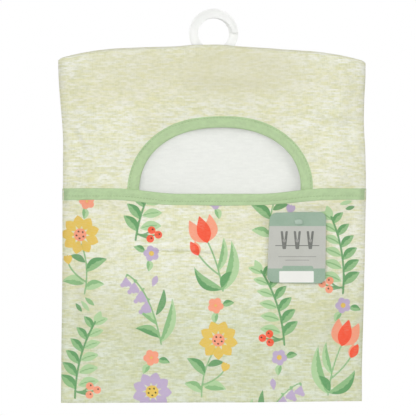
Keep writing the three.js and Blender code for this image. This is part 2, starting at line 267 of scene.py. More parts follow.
def srgb(red, green, blue):
    """A colour written as 0 to 255 as seen on a screen, as linear light."""
    def linear(value):
        part = value / 255
        return part / 12.92 if part <= 0.04045 else ((part + 0.055) / 1.055) ** 2.4

    return (linear(red), linear(green), linear(blue), 1.0)


def colour_property(name, description, red, green, blue):
    return bpy.props.FloatVectorProperty(
        name=name,
        description=description,
        subtype="COLOR",
        size=4,
        min=0,
        max=1,
        default=srgb(red, green, blue),
    )


def length_property(name, description, millimetres):
    return bpy.props.FloatProperty(
        name=name,
        description=description,
        unit="LENGTH",
        subtype="DISTANCE",
        precision=4,
        default=millimetres * MM,
    )


class PegBagSizes(bpy.types.PropertyGroup):
    """Sizes of the bag and of what is sewn or hung on it."""

    bag_width: length_property("Bag width", "Width across the body, seam to seam", 301.5)
    shoulder_flare: length_property("Shoulder flare", "How far each shoulder stands out", 3.25)
    cloth: length_property("Cloth", "Thickness of the printed cotton", 0.55)
    crease: bpy.props.FloatProperty(
        name="Creases",
        description="Depth of the folds and puckers, 1 as hung",
        subtype="FACTOR",
        min=0,
        max=2,
        default=1,
    )
    mouth_half_width: length_property("Mouth half width", "From the mouth's middle to its fold", 80.3)
    mouth_height: length_property("Mouth height", "From the mouth's foot to its fold", 62)
    binding_width: length_property("Binding width", "Width of the folded tape as seen", 11.6)
    tape: length_property("Tape", "Thickness of the binding tape", 0.42)
    stitch_length: length_property("Stitch length", "Length of each stitch that shows", 2.1)
    stitch_pitch: length_property("Stitch pitch", "From one stitch to the next", 2.9)
    thread: length_property("Thread", "Thickness of the sewing thread", 0.42)
    mould_edge: length_property("Moulding edge", "Rounding on the edges of the mouldings", 0.4)
    tag_width: length_property("Tag width", "Width of the card", 56)
    tag_height: length_property("Tag height", "Height of the card", 71)
    tag_corner: length_property("Tag corner", "Radius of the card's corners", 6.5)


class PegBagColours(bpy.types.PropertyGroup):
    """Colours of the cloth, its print, the tape, the plastic and the card."""

    ground: colour_property("Ground", "Off-white ground of the cloth", 247, 248, 239)
    # Painted shade: the pocket's ground is multiplied by this colour towards the hem, standing in for the
    # light that falls off lower down
    hem_painted_shade: colour_property("Lower tint", "Tint of the pocket's ground towards the hem", 234, 239, 232)
    streak: colour_property("Streak", "Yellow-green slub streaks", 222, 220, 152)
    fleck: colour_property("Fleck", "Grey-green slub flecks", 202, 205, 166)
    pale_streak: colour_property("Pale streak", "Beige patches of the ground", 226, 220, 190)
    # Partly painted shade: the darker beige patches below the hooks are partly the cloth's own beige and
    # partly the shade of the hanger behind
    shaded_beige: colour_property("Faded", "Faded beige patches below the hooks", 214, 211, 178)
    reverse: colour_property("Reverse", "White reverse of the cloth", 219, 222, 213)
    reverse_streak: colour_property("Reverse streak", "Faint slubs on the reverse", 211, 214, 205)
    leaf_pale: colour_property("Pale leaf", "Palest green ink", 178, 212, 160)
    leaf: colour_property("Leaf", "Middle green ink", 142, 188, 132)
    leaf_deep: colour_property("Deep leaf", "Deepest green ink", 105, 160, 105)
    lilac: colour_property("Lilac", "Lilac ink", 192, 173, 206)
    yellow: colour_property("Yellow", "Yellow ink", 232, 196, 88)
    coral: colour_property("Coral", "Coral ink", 250, 158, 128)
    red: colour_property("Red", "Red-orange ink", 248, 88, 60)
    dark: colour_property("Dark", "Near-black green ink", 48, 58, 44)
    tape: colour_property("Tape", "Sage green binding tape", 188, 213, 166)
    thread: colour_property("Thread", "Green sewing thread", 148, 178, 126)
    plastic: colour_property("Plastic", "White moulded plastic", 246, 247, 244)
    nylon: colour_property("Nylon", "Clear nylon", 172, 192, 176)
    card_green: colour_property("Card green", "Green bands of the tag", 147, 172, 151)
    card_grey: colour_property("Card grey", "Grey band of the tag", 188, 189, 181)
    card_white: colour_property("Card white", "Bare panel and cut edge of the tag", 236, 236, 230)
    card_dark: colour_property("Card dark", "Ink of the pegs drawn on the tag", 108, 110, 104)
    card_rule: colour_property("Card rule", "Ink of the rules on the tag", 150, 150, 144)
    floor: colour_property("Floor", "Pale floor under the bag", 244, 244, 244)


INKS = ["leaf_pale", "leaf", "leaf_deep", "lilac", "yellow", "coral", "red", "dark"]


def rise(value, low, high):
    """Eases from 0 at low to 1 at high."""
    part = np.clip((value - low) / (high - low), 0, 1)
    return part * part * (3 - 2 * part)


def along_list(value, stations):
    places, amounts = zip(*stations)
    return np.interp(value, places, amounts)


# Shape of the hung bag


class BagForm:
    """The hung bag's surface, in millimetres."""

    def __init__(self, sizes):
        self.body_half = sizes.bag_width / MM / 2
        self.shoulder_half = self.body_half + sizes.shoulder_flare / MM
        self.crease = sizes.crease
        self.mouth_half = sizes.mouth_half_width / MM
        self.mouth_height = sizes.mouth_height / MM
        self.binding = sizes.binding_width / MM

    def flared(self, z, body, shoulder):
        """A width that goes over from the body's to the shoulders'."""
        return body + (shoulder - body) * rise(z, FLARE_FROM_Z, FLARE_TO_Z)

    def half_width(self, z):
        return self.flared(z, self.body_half, self.shoulder_half)

    def from_side(self, x, z):
        return self.half_width(z) - np.abs(x)

    def roof_line(self, x):
        """Outside line of the shoulders, lifted a little over the slot for the hooks."""
        ridge = np.hypot(x, SHOULDER_RIDGE) - SHOULDER_RIDGE
        droop_from = self.shoulder_half - DROOP_LENGTH
        droop = np.maximum(0, np.abs(x) - droop_from) / DROOP_LENGTH
        lift = SLOT_LIFT * (1 - rise(np.abs(x - SLOT_LIFT_X), SLOT_LIFT_FLAT, SLOT_LIFT_REACH))
        corner = np.maximum(0, np.abs(x) - (self.shoulder_half - CORNER_LENGTH)) / CORNER_LENGTH
        return SHOULDER_Z - SHOULDER_SLOPE * ridge - DROOP * droop**2 - CORNER_DROP * corner**2 + lift

    def pocket_top(self, x):
        """The pocket's bound edge, which sags where it crosses the mouth."""
        return POCKET_TOP_Z - POCKET_SAG * (1 - rise(np.abs(x - MOUTH_X), SAG_FLAT, SAG_END))

    def pocket_step(self, x, z):
        hem = self.pocket_top(x) - self.binding
        return POCKET_STEP * rise(z, hem - STEP_FADE, hem)

    def depth(self, side, x, z):
        room, belly = (FRONT_ROOM, FRONT_BELLY) if side == FRONT else (BACK_ROOM, BACK_BELLY)
        across = 1 - np.clip(x / self.body_half, -1, 1) ** 2
        return room + (belly - room) * (1 - rise(z, BELLY_TO_Z, BELLY_FROM_Z)) * across

    def out_of_true(self, x, z):
        """How far the hung cloth stands off its straight outline, across and up."""
        left = rise(-x / self.body_half, STRAY_FROM, 1)
        right = rise(x / self.body_half, STRAY_FROM, 1)
        across = left * along_list(z, LEFT_SEAM) + right * along_list(z, RIGHT_SEAM)
        upper = rise(z, *TOP_SLANT_Z)
        lower = rise(z, *HEM_SLANT_Z)
        lift = upper * (TOP_LIFT_LEFT * rise(-x, 5, 100) - TOP_DROP_RIGHT * rise(x, 5, 100))
        drop = lower * (-HEM_DROP - HEM_DROP_LEFT * rise(-x, 20, 140) + HEM_LIFT_RIGHT * rise(x, 20, 140))
        return across, lift + drop

    def seam_wave(self, x, z):
        """The side seams and the hem waver together, front and back."""
        near_side = 1 - rise(self.from_side(x, z), 0, SIDE_WAVER_REACH)
        below_hanger = 1 - rise(z, *SIDE_WAVER_TOP)
        phase = np.where(x < 0, 0.4, 2.6)
        side = 0.9 * np.sin(z / 24 + phase) + 0.5 * np.sin(z / 9.5 + 2 * phase)
        near_hem = 1 - rise(z - HEM_Z, 0, HEM_WAVER_REACH)
        hem = sum(height * np.sin(x / length + start) for height, length, start in HEM_WAVES)
        return self.crease * (near_side * below_hanger * side + near_hem * hem)

    def creases(self, side, x, z):
        """Folds and puckers of one face, as heights away from the bag."""
        if side == FRONT:
            height = front_folds(x, z) + binding_puckers(self, x, z) - self.mouth_lean(x, z)
            reach = np.hypot(x - TAG_X, z - PIN_Z)
            under_tag = (1 - rise(reach, TAG_SWEEP - 6, TAG_SWEEP + 14)) * rise(-z, 165, 172)
            height = np.where(height > 0, height * (1 - TAG_CALM * under_tag), height)
        else:
            height = back_folds(x, z)
        calm = rise(self.from_side(x, z), *CALM_SIDE) * rise(self.roof_line(x) - z, *CALM_ROOF)
        return self.crease * height * (calm * rise(z - HEM_Z, *CALM_HEM))

    def from_mouth(self, x, above):
        """How far a point lies from the middle of the mouth's foot, 1 at the outer edge of the tape."""
        across = (x - MOUTH_X) / (self.mouth_half + self.binding)
        return np.hypot(across, above / (self.mouth_height + self.binding))

    def mouth_lean(self, x, z):
        """How far the free edges of the mouth hang back: the arch above, the pocket's lip below."""
        away = self.from_mouth(x, np.clip(z - MOUTH_BASE_Z, 0, None))
        above = rise(z, MOUTH_BASE_Z, MOUTH_BASE_Z + ARCH_FOOT)
        near_edge = np.exp(-((np.clip(away - 0.9, 0, None) / ARCH_LEAN_REACH) ** 2))
        stands_off = 1 - 0.6 * rise(x - MOUTH_X, 25, 75)
        arch = ARCH_LEAN * above * near_edge * stands_off
        across = 1 - rise(np.abs(x - MOUTH_X), 50, self.mouth_half + 20)
        below = self.pocket_top(x) - z
        lip = LIP_LEAN * across * (1 - rise(below, *LIP_REACH)) * (1 - above)
        return arch + lip

    def seam_bulk(self, x, z):
        """The rounded edge that the turned seam allowance gives the sides and the hem."""
        edge = np.clip(np.minimum(self.from_side(x, z), z - HEM_Z), 0, None)
        round_share = np.clip(edge / SEAM_ROUND, 0, 1)
        return SEAM_BULK * np.sqrt(1 - (1 - round_share) ** 2) * (1 - rise(edge, SEAM_ROUND, SEAM_FADE))

    def face_y(self, side, x, z, offset, roof=1.0):
        """Depth of a layer at (x, z), offset outwards from the bag's inside, closed in by the roof."""
        from_side = self.from_side(x, z)
        roll = np.clip(from_side / self.flared(z, SIDE_ROLL_BODY, SIDE_ROLL_SHOULDER), 0, 1)
        hem = np.clip((z - HEM_Z) / HEM_ROLL, 0, 1)
        share = roof * (1 - (1 - roll) ** 2) * (1 - (1 - hem) ** 2)
        loose = rise(from_side, 0, PRESSED_REACH) * rise(z - HEM_Z, 0, PRESSED_REACH)
        stand = offset * (PRESSED_SHARE + (1 - PRESSED_SHARE) * loose)
        out = SEAM_GAP + self.depth(side, x, z) * share + stand * np.where(share > 0, 1, PRESSED_SHARE)
        out = out + self.seam_bulk(x, z) * roof
        return side * (out + self.creases(side, x, z)) + self.seam_wave(x, z)

    def placed(self, x, y, z):
        """The point where the cloth hangs, in metres."""
        across, up = self.out_of_true(x, z)
        return np.stack([x + across, y, z + up], axis=-1) * MM


def fold(x, z, start, end, width, height):
    """A soft ridge along a line, highest at its middle."""
    ax, az = end[0] - start[0], end[1] - start[1]
    square = ax * ax + az * az
    part = np.clip(((x - start[0]) * ax + (z - start[1]) * az) / square, 0, 1)
    off = np.hypot(x - start[0] - part * ax, z - start[1] - part * az)
    return height * np.exp(-((off / width) ** 2)) * np.sin(np.pi * np.clip(part, 0.02, 0.98)) ** 0.6


def billow(x, z, seed, lengths, height):
    """Slow swells that cross one another."""
    rng = np.random.default_rng(seed)
    total = np.zeros_like(x)
    for length in lengths:
        angle = rng.uniform(0, math.pi)
        phase = rng.uniform(0, 2 * math.pi)
        total += np.sin((x * math.cos(angle) + z * math.sin(angle)) * 2 * math.pi / length + phase)
    return height * total / len(lengths)


def folded(x, z, swells, fine_seed, folds):
    """Slow swells, fine crumple and a list of folds together."""
    height = billow(x, z, *swells) + crumple(x, z, fine_seed)
    for line in folds:
        height += fold(x, z, *line)
    return height


def front_folds(x, z):
    return folded(x, z, (7, (150, 118, 96, 74, 61), 1.9), 3, FRONT_FOLDS)


def back_folds(x, z):
    """The back's folds, calmed and sunk in where the mouth shows it and between the hanger's arms."""
    height = folded(x, z, (23, (160, 121, 92, 77, 58), 2.0), 5, BACK_FOLDS)
    across = np.exp(-(((x - MOUTH_X) / SLACK_HALF) ** 4)) * rise(z, *SLACK_FOOT_Z)
    below_hanger = across * (1 - rise(z, *HANGER_EDGE_Z))
    slack = BACK_SLACK * below_hanger + HANGER_SLACK * across * (1 - rise(z, *HANGER_TOP_Z))
    return height * (1 - 0.85 * below_hanger) - slack


def crumple(x, z, seed):
    """Fine unevenness of washed cotton."""
    fine = billow(x, z, seed, (41, 36, 31, 27, 23, 19, 16), 0.55)
    return fine * (0.6 + 0.4 * billow(x, z, seed + 40, (130, 90, 70), 1.5))


def binding_puckers(form, x, z):
    """Small gathers where the tape is sewn to the cloth."""
    below = form.pocket_top(x) - form.binding - z
    pocket = np.where(below > -form.binding, np.exp(-np.clip(below, 0, None) / 10), 0)
    gather = np.sin(x / 2.1 + 1.3 * np.sin(x / 17)) * (0.6 + 0.4 * np.sin(x / 29 + 1))
    height = 0.32 * pocket * gather
    away = form.from_mouth(x, z - MOUTH_BASE_Z)
    turn = np.arctan2(z - MOUTH_BASE_Z, x - MOUTH_X)
    arch = np.exp(-np.clip(away - 1, 0, None) * 80 / 9) * rise(z, YOKE_HEM_Z, MOUTH_BASE_Z + 8)
    return height + 0.3 * arch * np.sin(38 * turn + 2 * np.sin(7 * turn))


def mouth_edge(form, angle, margin):
    """A point of the mouth's arch, grown outwards by a margin."""
    power = 2 / MOUTH_SQUARENESS
    cosine, sine = np.cos(angle), np.maximum(0, np.sin(angle))
    x = MOUTH_X + (form.mouth_half + margin) * np.sign(cosine) * np.abs(cosine) ** power
    rise_share = sine**power
    return x + MOUTH_LEAN * rise_share, MOUTH_BASE_Z + (form.mouth_height + margin) * rise_share


def inside_mouth(form, x, z, margin):
    half, height = form.mouth_half + margin, form.mouth_height + margin
    up = np.clip((z - MOUTH_BASE_Z) / height, 0, None)
    across = np.abs(x - MOUTH_X - MOUTH_LEAN * np.clip(up, 0, 1)) / half
    return across**MOUTH_SQUARENESS + up**MOUTH_SQUARENESS < 1


# Modelling helpers


def clear_selection():
    if bpy.context.mode != "OBJECT":
        bpy.ops.object.mode_set(mode="OBJECT")
    bpy.ops.object.select_all(action="DESELECT")


def only(obj):
    clear_selection()
    obj.select_set(True)
    bpy.context.view_layer.objects.active = obj


@contextmanager
def editing(obj):
    """Puts obj in edit mode for a while."""
    only(obj)
    bpy.ops.object.mode_set(mode="EDIT")
    yield
    bpy.ops.object.mode_set(mode="OBJECT")


def named(name):
    obj = bpy.context.active_object
    obj.name = name
    obj.data.name = name
    return obj


def apply_modifier(obj, kind, **options):
    only(obj)
    modifier = obj.modifiers.new(kind.title(), kind)
    for key, value in options.items():
        setattr(modifier, key, value)
    bpy.ops.object.modifier_apply(modifier=modifier.name)


def bevel(obj, width, segments, degrees):
    angle = math.radians(degrees)
    apply_modifier(obj, "BEVEL", width=width, segments=segments, limit_method="ANGLE", angle_limit=angle)


def smooth(obj, degrees):
    only(obj)
    bpy.ops.object.shade_smooth_by_angle(angle=math.radians(degrees))


def shaped_grid(name, points, plan, outward):
    """A grid bent to points (rows, columns, 3), with plan (rows, columns, 2) as its UV map."""
    rows, columns = points.shape[:2]
    clear_selection()
    bpy.ops.mesh.primitive_grid_add(x_subdivisions=columns - 1, y_subdivisions=rows - 1, size=1)
    obj = named(name)
    mesh = obj.data
    if len(mesh.vertices) != rows * columns:
        raise RuntimeError(f"{name}: the grid has {len(mesh.vertices)} points, not {rows * columns}")
    mesh.vertices.foreach_set("co", points.reshape(-1))
    for layer in list(mesh.uv_layers):
        mesh.uv_layers.remove(layer)
    corners = np.zeros(len(mesh.loops), dtype=np.int32)
    mesh.loops.foreach_get("vertex_index", corners)
    layer = mesh.uv_layers.new(name="cloth")
    layer.uv.foreach_set("vector", plan.reshape(-1, 2)[corners].astype(np.float32).reshape(-1))
    mesh.update()
    normals = np.zeros(len(mesh.polygons) * 3, dtype=np.float32)
    mesh.polygons.foreach_get("normal", normals)
    if np.dot(normals.reshape(-1, 3).mean(axis=0), outward) < 0:
        with editing(obj):
            bpy.ops.mesh.select_all(action="SELECT")
            bpy.ops.mesh.flip_normals()
    return obj


def select_nothing(obj, mode):
    """Leaves all of obj's points, edges and faces unselected, ready to select one kind of them."""
    with editing(obj):
        bpy.ops.mesh.select_mode(type=mode)
        bpy.ops.mesh.select_all(action="DESELECT")


def delete_faces(obj, chosen):
    select_nothing(obj, "FACE")
    obj.data.polygons.foreach_set("select", chosen)
    with editing(obj):
        bpy.ops.mesh.delete(type="FACE")


def thicken(obj, thickness, inner_material=0):
    apply_modifier(
        obj,
        "SOLIDIFY",
        thickness=thickness,
        offset=-1,
        use_even_offset=False,
        material_offset=inner_material,
        material_offset_rim=inner_material,
    )
    smooth(obj, 60)


def dress(obj, body, slot, *nodes):
    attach(obj, body)
    if nodes:
        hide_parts(*nodes)


# Shader helpers


def feed(tree, node, inputs):
    """Links a socket to each input named, or sets the input to a plain value."""
    for key, value in inputs.items():
        if isinstance(value, bpy.types.NodeSocket):
            tree.links.new(value, node.inputs[key])
        else:
            node.inputs[key].default_value = value


def add(tree, kind, inputs=None, **options):
    """A new node with its options and inputs set."""
    node = tree.nodes.new(kind)
    for key, value in options.items():
        setattr(node, key, value)
    feed(tree, node, inputs or {})
    return node


def calc(tree, operation, first, second=0.5):
    return add(tree, "ShaderNodeMath", {0: first, 1: second}, operation=operation).outputs[0]


def blend_colour(tree, share, first, second):
    return add(tree, "ShaderNodeMix", {0: share, 6: first, 7: second}, data_type="RGBA").outputs[2]


def spread(tree, value, low, high, to_low=0.0, to_high=1.0):
    values = {"Value": value, "From Min": low, "From Max": high, "To Min": to_low, "To Max": to_high}
    return add(tree, "ShaderNodeMapRange", values, interpolation_type="SMOOTHSTEP").outputs[0]


def stretched(tree, vector, across, up, shift=0.0):
    """Coordinates in millimetres, measured in grains of a given size."""
    mapping = {"Vector": vector, "Location": (shift, shift, 0), "Scale": (1 / across, 1 / up, 1)}
    return add(tree, "ShaderNodeMapping", mapping).outputs[0]


def noise(tree, vector, detail=2.0, roughness=0.5, scale=1.0):
    values = {"Vector": vector, "Scale": scale, "Detail": detail, "Roughness": roughness}
    return add(tree, "ShaderNodeTexNoise", values).outputs[0]


def wave(tree, vector, direction, scale, distortion, detail=2.0):
    values = {"Vector": vector, "Scale": scale, "Distortion": distortion, "Detail": detail}
    return add(tree, "ShaderNodeTexWave", values, bands_direction=direction).outputs["Fac"]


def woven(tree, vector, *values):
    """Weft and warp threads that cross one another."""
    return calc(tree, "MULTIPLY", wave(tree, vector, "Y", *values), wave(tree, vector, "X", *values))


def weighted(tree, first, first_share, second, second_share):
    shares = calc(tree, "MULTIPLY", first, first_share), calc(tree, "MULTIPLY", second, second_share)
    return calc(tree, "ADD", *shares)


def parts_of(tree, vector):
    return add(tree, "ShaderNodeSeparateXYZ", {0: vector}).outputs


def length_of(tree, vector):
    return add(tree, "ShaderNodeVectorMath", {0: vector}, operation="LENGTH").outputs["Value"]


def own_place(tree):
    """The piece's own coordinates, in metres."""
    return add(tree, "ShaderNodeTexCoord").outputs["Object"]


def cloth_plan(tree):
    """The cloth's own flat plan, in millimetres."""
    return add(tree, "ShaderNodeUVMap", uv_map="cloth").outputs[0]


def uneven(tree, share, colour, depth):
    """A colour that darkens to a part of itself where the share is low."""
    deep = tuple(depth * part for part in colour[:3]) + (1,)
    return blend_colour(tree, share, deep, colour)


def translucent(weight, depth):
    """Inputs for light that soaks in, by its share and its depth in metres."""
    return {"Subsurface Weight": weight, "Subsurface Radius": (1, 1, 1), "Subsurface Scale": depth}


def new_group(name, inputs, outputs):
    group = bpy.data.node_groups.new(name, "ShaderNodeTree")
    for label, kind in inputs:
        group.interface.new_socket(label, in_out="INPUT", socket_type=kind)
    for label, kind in outputs:
        group.interface.new_socket(label, in_out="OUTPUT", socket_type=kind)
    return group, group.nodes.new("NodeGroupInput").outputs, group.nodes.new("NodeGroupOutput").inputs


def use_group(tree, group, inputs):
    return add(tree, "ShaderNodeGroup", inputs, node_tree=group).outputs


def new_material(name):
    material = bpy.data.materials.new(name)
    material.use_nodes = True
    tree = material.node_tree
    return material, tree, tree.nodes["Principled BSDF"]


def finish_surface(tree, shader, looks, height=None, distance=0.0001, strength=0.5):
    """Sets the shader's inputs, and its relief if a height is given."""
    feed(tree, shader, looks)
    if height is not None:
        relief = {"Height": height, "Distance": distance, "Strength": strength}
        feed(tree, shader, {"Normal": add(tree, "ShaderNodeBump", relief).outputs[0]})


def weft_streaks(tree, plan, length, height, shift):
    """Streaks that keep to their own row of weft, each row unlike the next."""
    parts = parts_of(tree, plan)
    row = calc(tree, "FLOOR", calc(tree, "ADD", calc(tree, "DIVIDE", parts[1], height), shift))
    place = {0: calc(tree, "DIVIDE", parts[0], length), 1: calc(tree, "MULTIPLY", row, 7.31)}
    return noise(tree, add(tree, "ShaderNodeCombineXYZ", place).outputs[0], 3.0, 0.55)


def slub_group():
    """Linen-look ground: short streaks along the weft on a pale cloth."""
    known = bpy.data.node_groups.get("slub_ground")
    if known:
        return known
    tints = [(label, "NodeSocketColor") for label in ("Ground", "Streak", "Fleck", "Pale")]
    outputs = [("Color", "NodeSocketColor"), ("Height", "NodeSocketFloat")]
    group, given, put = new_group("slub_ground", [("Plan", "NodeSocketVector"), *tints], outputs)
    plan = given["Plan"]
    long_streaks = weft_streaks(group, plan, 13, 1.7, 0)
    short_streaks = weft_streaks(group, plan, 6, 1.45, 0.37)
    warp_threads = noise(group, stretched(group, plan, 1.1, 14, 57))
    patches = noise(group, stretched(group, plan, 26, 15, 11), 2.0, 0.55)
    broad = noise(group, stretched(group, plan, 95, 55, 83), 1.0)
    lean = calc(group, "MULTIPLY", calc(group, "SUBTRACT", patches, 0.5), 0.2)
    streak = spread(group, calc(group, "ADD", long_streaks, lean), 0.34, 0.68)
    fleck = spread(group, calc(group, "ADD", short_streaks, lean), 0.36, 0.7)
    threads = spread(group, warp_threads, 0.3, 0.75, 0.8, 1.15)
    streaked = calc(group, "MULTIPLY", calc(group, "MULTIPLY", streak, 0.63), threads)
    grain = spread(group, noise(group, stretched(group, plan, 1.5, 0.8, 31), 1.0), 0.3, 0.7, -0.07, 0.1)
    grained = calc(group, "ADD", calc(group, "MULTIPLY", fleck, 0.48), grain)
    flecked = calc(group, "MAXIMUM", calc(group, "MULTIPLY", grained, threads), 0.0)
    beige = blend_colour(group, spread(group, broad, 0.4, 0.75, 0.05, 0.45), given["Ground"], given["Pale"])
    yellowed = blend_colour(group, streaked, beige, given["Streak"])
    group.links.new(blend_colour(group, flecked, yellowed, given["Fleck"]), put["Color"])
    threads_high = woven(group, plan, 0.42, 0.6, 1.0)
    streaks_high = calc(group, "MULTIPLY", long_streaks, 1.4)
    group.links.new(calc(group, "ADD", threads_high, streaks_high), put["Height"])
    return group


def slubs(tree, plan, ground, streak, fleck, pale):
    """Colour and height of the linen-look ground in these colours."""
    values = {"Plan": plan, "Ground": ground, "Streak": streak, "Fleck": fleck, "Pale": pale}
    return use_group(tree, slub_group(), values)


def cloth_material(colours, printed):
    material, tree, shader = new_material("printed_cloth" if printed else "plain_cloth")
    plan = cloth_plan(tree)
    ground = slubs(tree, plan, colours.ground, colours.streak, colours.fleck, colours.pale_streak)
    colour = ground["Color"]
    if printed:
        # Painted shade: the pocket's ground darkens towards the hem, where less light falls
        tint = {0: spread(tree, parts_of(tree, plan)[1], -205, -345), 6: colour, 7: colours.hem_painted_shade}
        colour = add(tree, "ShaderNodeMix", tint, data_type="RGBA", blend_type="MULTIPLY").outputs[2]
        worn = spread(tree, noise(tree, stretched(tree, plan, 3.5, 0.9, 140)), 0.3, 0.75, 0.86, 1.0)
        for ink in INKS:
            edge = add(tree, "ShaderNodeAttribute", attribute_name="ink_" + ink).outputs["Fac"]
            inked = calc(tree, "MULTIPLY", spread(tree, edge, 0.28, -0.28), worn)
            colour = blend_colour(tree, inked, colour, getattr(colours, ink))
    else:
        # Partly painted shade: these patches stand in for the hanger's shade behind the cloth as well as
        # the cloth's own beige
        for x, z, reach_x, reach_z, strength in SHADED_BEIGE_PATCHES:
            place = {"Location": (-x / reach_x, -z / reach_z, 0), "Scale": (1 / reach_x, 1 / reach_z, 1)}
            away = length_of(tree, add(tree, "ShaderNodeMapping", {"Vector": plan, **place}).outputs[0])
            colour = blend_colour(tree, spread(tree, away, 1.1, 0.3, 0.0, strength), colour, colours.shaded_beige)
    looks = {
        "Base Color": colour,
        "Roughness": 0.92,
        "Sheen Weight": 0.08,
        "Sheen Roughness": 0.6,
        "Specular IOR Level": 0.2,
    }
    finish_surface(tree, shader, looks, ground["Height"], 0.00012, 0.55)
    return material


def reverse_material(colours):
    material, tree, shader = new_material("cloth_reverse")
    pale, streak = colours.reverse, colours.reverse_streak
    ground = slubs(tree, cloth_plan(tree), pale, streak, streak, pale)
    looks = {"Base Color": ground["Color"], "Roughness": 0.93, "Specular IOR Level": 0.2}
    finish_surface(tree, shader, {**looks, **translucent(0.65, 0.005)}, ground["Height"], 0.00012)
    return material


def tape_material(colours):
    material, tree, shader = new_material("binding_tape")
    plan = cloth_plan(tree)
    bias = {"Vector": plan, "Rotation": (0, 0, math.radians(45))}
    turned = add(tree, "ShaderNodeMapping", bias).outputs[0]
    mottle = noise(tree, stretched(tree, plan, 9, 4, 19), 3.0, 0.6)
    thread = noise(tree, stretched(tree, turned, 0.7, 6, 3))
    shade = weighted(tree, mottle, 0.6, thread, 0.4)
    colour = uneven(tree, spread(tree, shade, 0.36, 0.62), colours.tape, 0.89)
    height = calc(tree, "ADD", woven(tree, turned, 0.4, 0.4), mottle)
    looks = {"Base Color": colour, "Roughness": 0.9, "Specular IOR Level": 0.2}
    finish_surface(tree, shader, looks, height, 0.00015)
    return material


def thread_material(colours):
    material, tree, shader = new_material("sewing_thread")
    twist = wave(tree, own_place(tree), "DIAGONAL", 900.0, 1.0)
    # Painted shade: the thread darkens in the grooves of its twist, where the bump sinks
    colour = uneven(tree, spread(tree, twist, 0.2, 0.8), colours.thread, 0.8)
    finish_surface(tree, shader, {"Base Color": colour, "Roughness": 0.7}, twist, 0.00005)
    return material


def plastic_material(colours):
    material, tree, shader = new_material("hanger_plastic")
    place = own_place(tree)
    flow = noise(tree, place, 3.0, scale=90.0)
    grain = noise(tree, place, scale=260.0)
    looks = {
        "Base Color": uneven(tree, spread(tree, flow, 0.35, 0.65), colours.plastic, 0.96),
        "Roughness": spread(tree, grain, 0.3, 0.7, 0.42, 0.52),
        "IOR": 1.49,
        "Specular IOR Level": 0.4,
        **translucent(0.6, 0.0035),
    }
    finish_surface(tree, shader, looks, grain, 0.00004, 0.15)
    return material


def nylon_material(colours):
    material, tree, shader = new_material("clear_nylon")
    haze = noise(tree, own_place(tree), scale=900.0)
    looks = {
        "Base Color": uneven(tree, haze, colours.nylon, 0.9),
        "Roughness": spread(tree, haze, 0.3, 0.7, 0.22, 0.36),
        "IOR": 1.42,
        **translucent(0.6, 0.001),
    }
    finish_surface(tree, shader, looks)
    return material


def tag_plan(tree):
    """The card's own place, in millimetres from the middle of its top edge, and which way it faces."""
    given = add(tree, "ShaderNodeTexCoord").outputs
    top = (TAG_SHIFT_X - TAG_X, 0, -TAG_TOP_Z - TAG_LIFT)
    mapping = {"Vector": given["Object"], "Location": top, "Scale": (1000, 1000, 1000)}
    parts = parts_of(tree, add(tree, "ShaderNodeMapping", mapping).outputs[0])
    return given["Object"], parts[0], parts[2], parts_of(tree, given["Normal"])[1]


PANEL_INPUTS = ("X", "Z", "Middle X", "Middle Z", "Half X", "Half Z", "Corner")


def round_panel_group():
    """How far a point lies outside a round-cornered panel."""
    known = bpy.data.node_groups.get("round_panel")
    if known:
        return known
    inputs = [(label, "NodeSocketFloat") for label in PANEL_INPUTS]
    group, given, put = new_group("round_panel", inputs, [("Distance", "NodeSocketFloat")])
    off = []
    for axis in ("X", "Z"):
        away = calc(group, "ABSOLUTE", calc(group, "SUBTRACT", given[axis], given["Middle " + axis]))
        straight = calc(group, "SUBTRACT", given["Half " + axis], given["Corner"])
        off.append(calc(group, "SUBTRACT", away, straight))
    squares = [calc(group, "POWER", calc(group, "MAXIMUM", part, 0.0), 2.0) for part in off]
    outside = calc(group, "SQRT", calc(group, "ADD", squares[0], squares[1]))
    inside = calc(group, "MINIMUM", calc(group, "MAXIMUM", off[0], off[1]), 0.0)
    total = calc(group, "SUBTRACT", calc(group, "ADD", outside, inside), given["Corner"])
    group.links.new(total, put["Distance"])
    return group


def printed_panel(tree, x, z, middle, half, corner):
    values = dict(zip(PANEL_INPUTS, (x, z, *middle, *half, corner)))
    distance = use_group(tree, round_panel_group(), values)["Distance"]
    return spread(tree, distance, 0.15, -0.15)


def united(tree, masks):
    total = masks[0]
    for mask in masks[1:]:
        total = calc(tree, "MAXIMUM", total, mask)
    return total


def drawn_pegs(tree, x, z):
    """Three spring pegs clipped on a washing line, and the coils of their springs."""
    middles = (-13, 0, 13)
    slant = 0.11
    legs = [printed_panel(tree, x, z, (0, -33.5), (22, 0.4), 0.3)]
    for side in (-1, 1):
        splayed = calc(tree, "SUBTRACT", x, calc(tree, "MULTIPLY", z, slant * side))
        for middle in middles:
            place = (middle + side * (1.5 + slant * 28), -28)
            legs.append(printed_panel(tree, splayed, z, place, (1.2, 9), 0.8))
    coils = [printed_panel(tree, x, z, (middle, -28.5), (1.7, 1.7), 1.7) for middle in middles]
    return united(tree, legs), united(tree, coils)


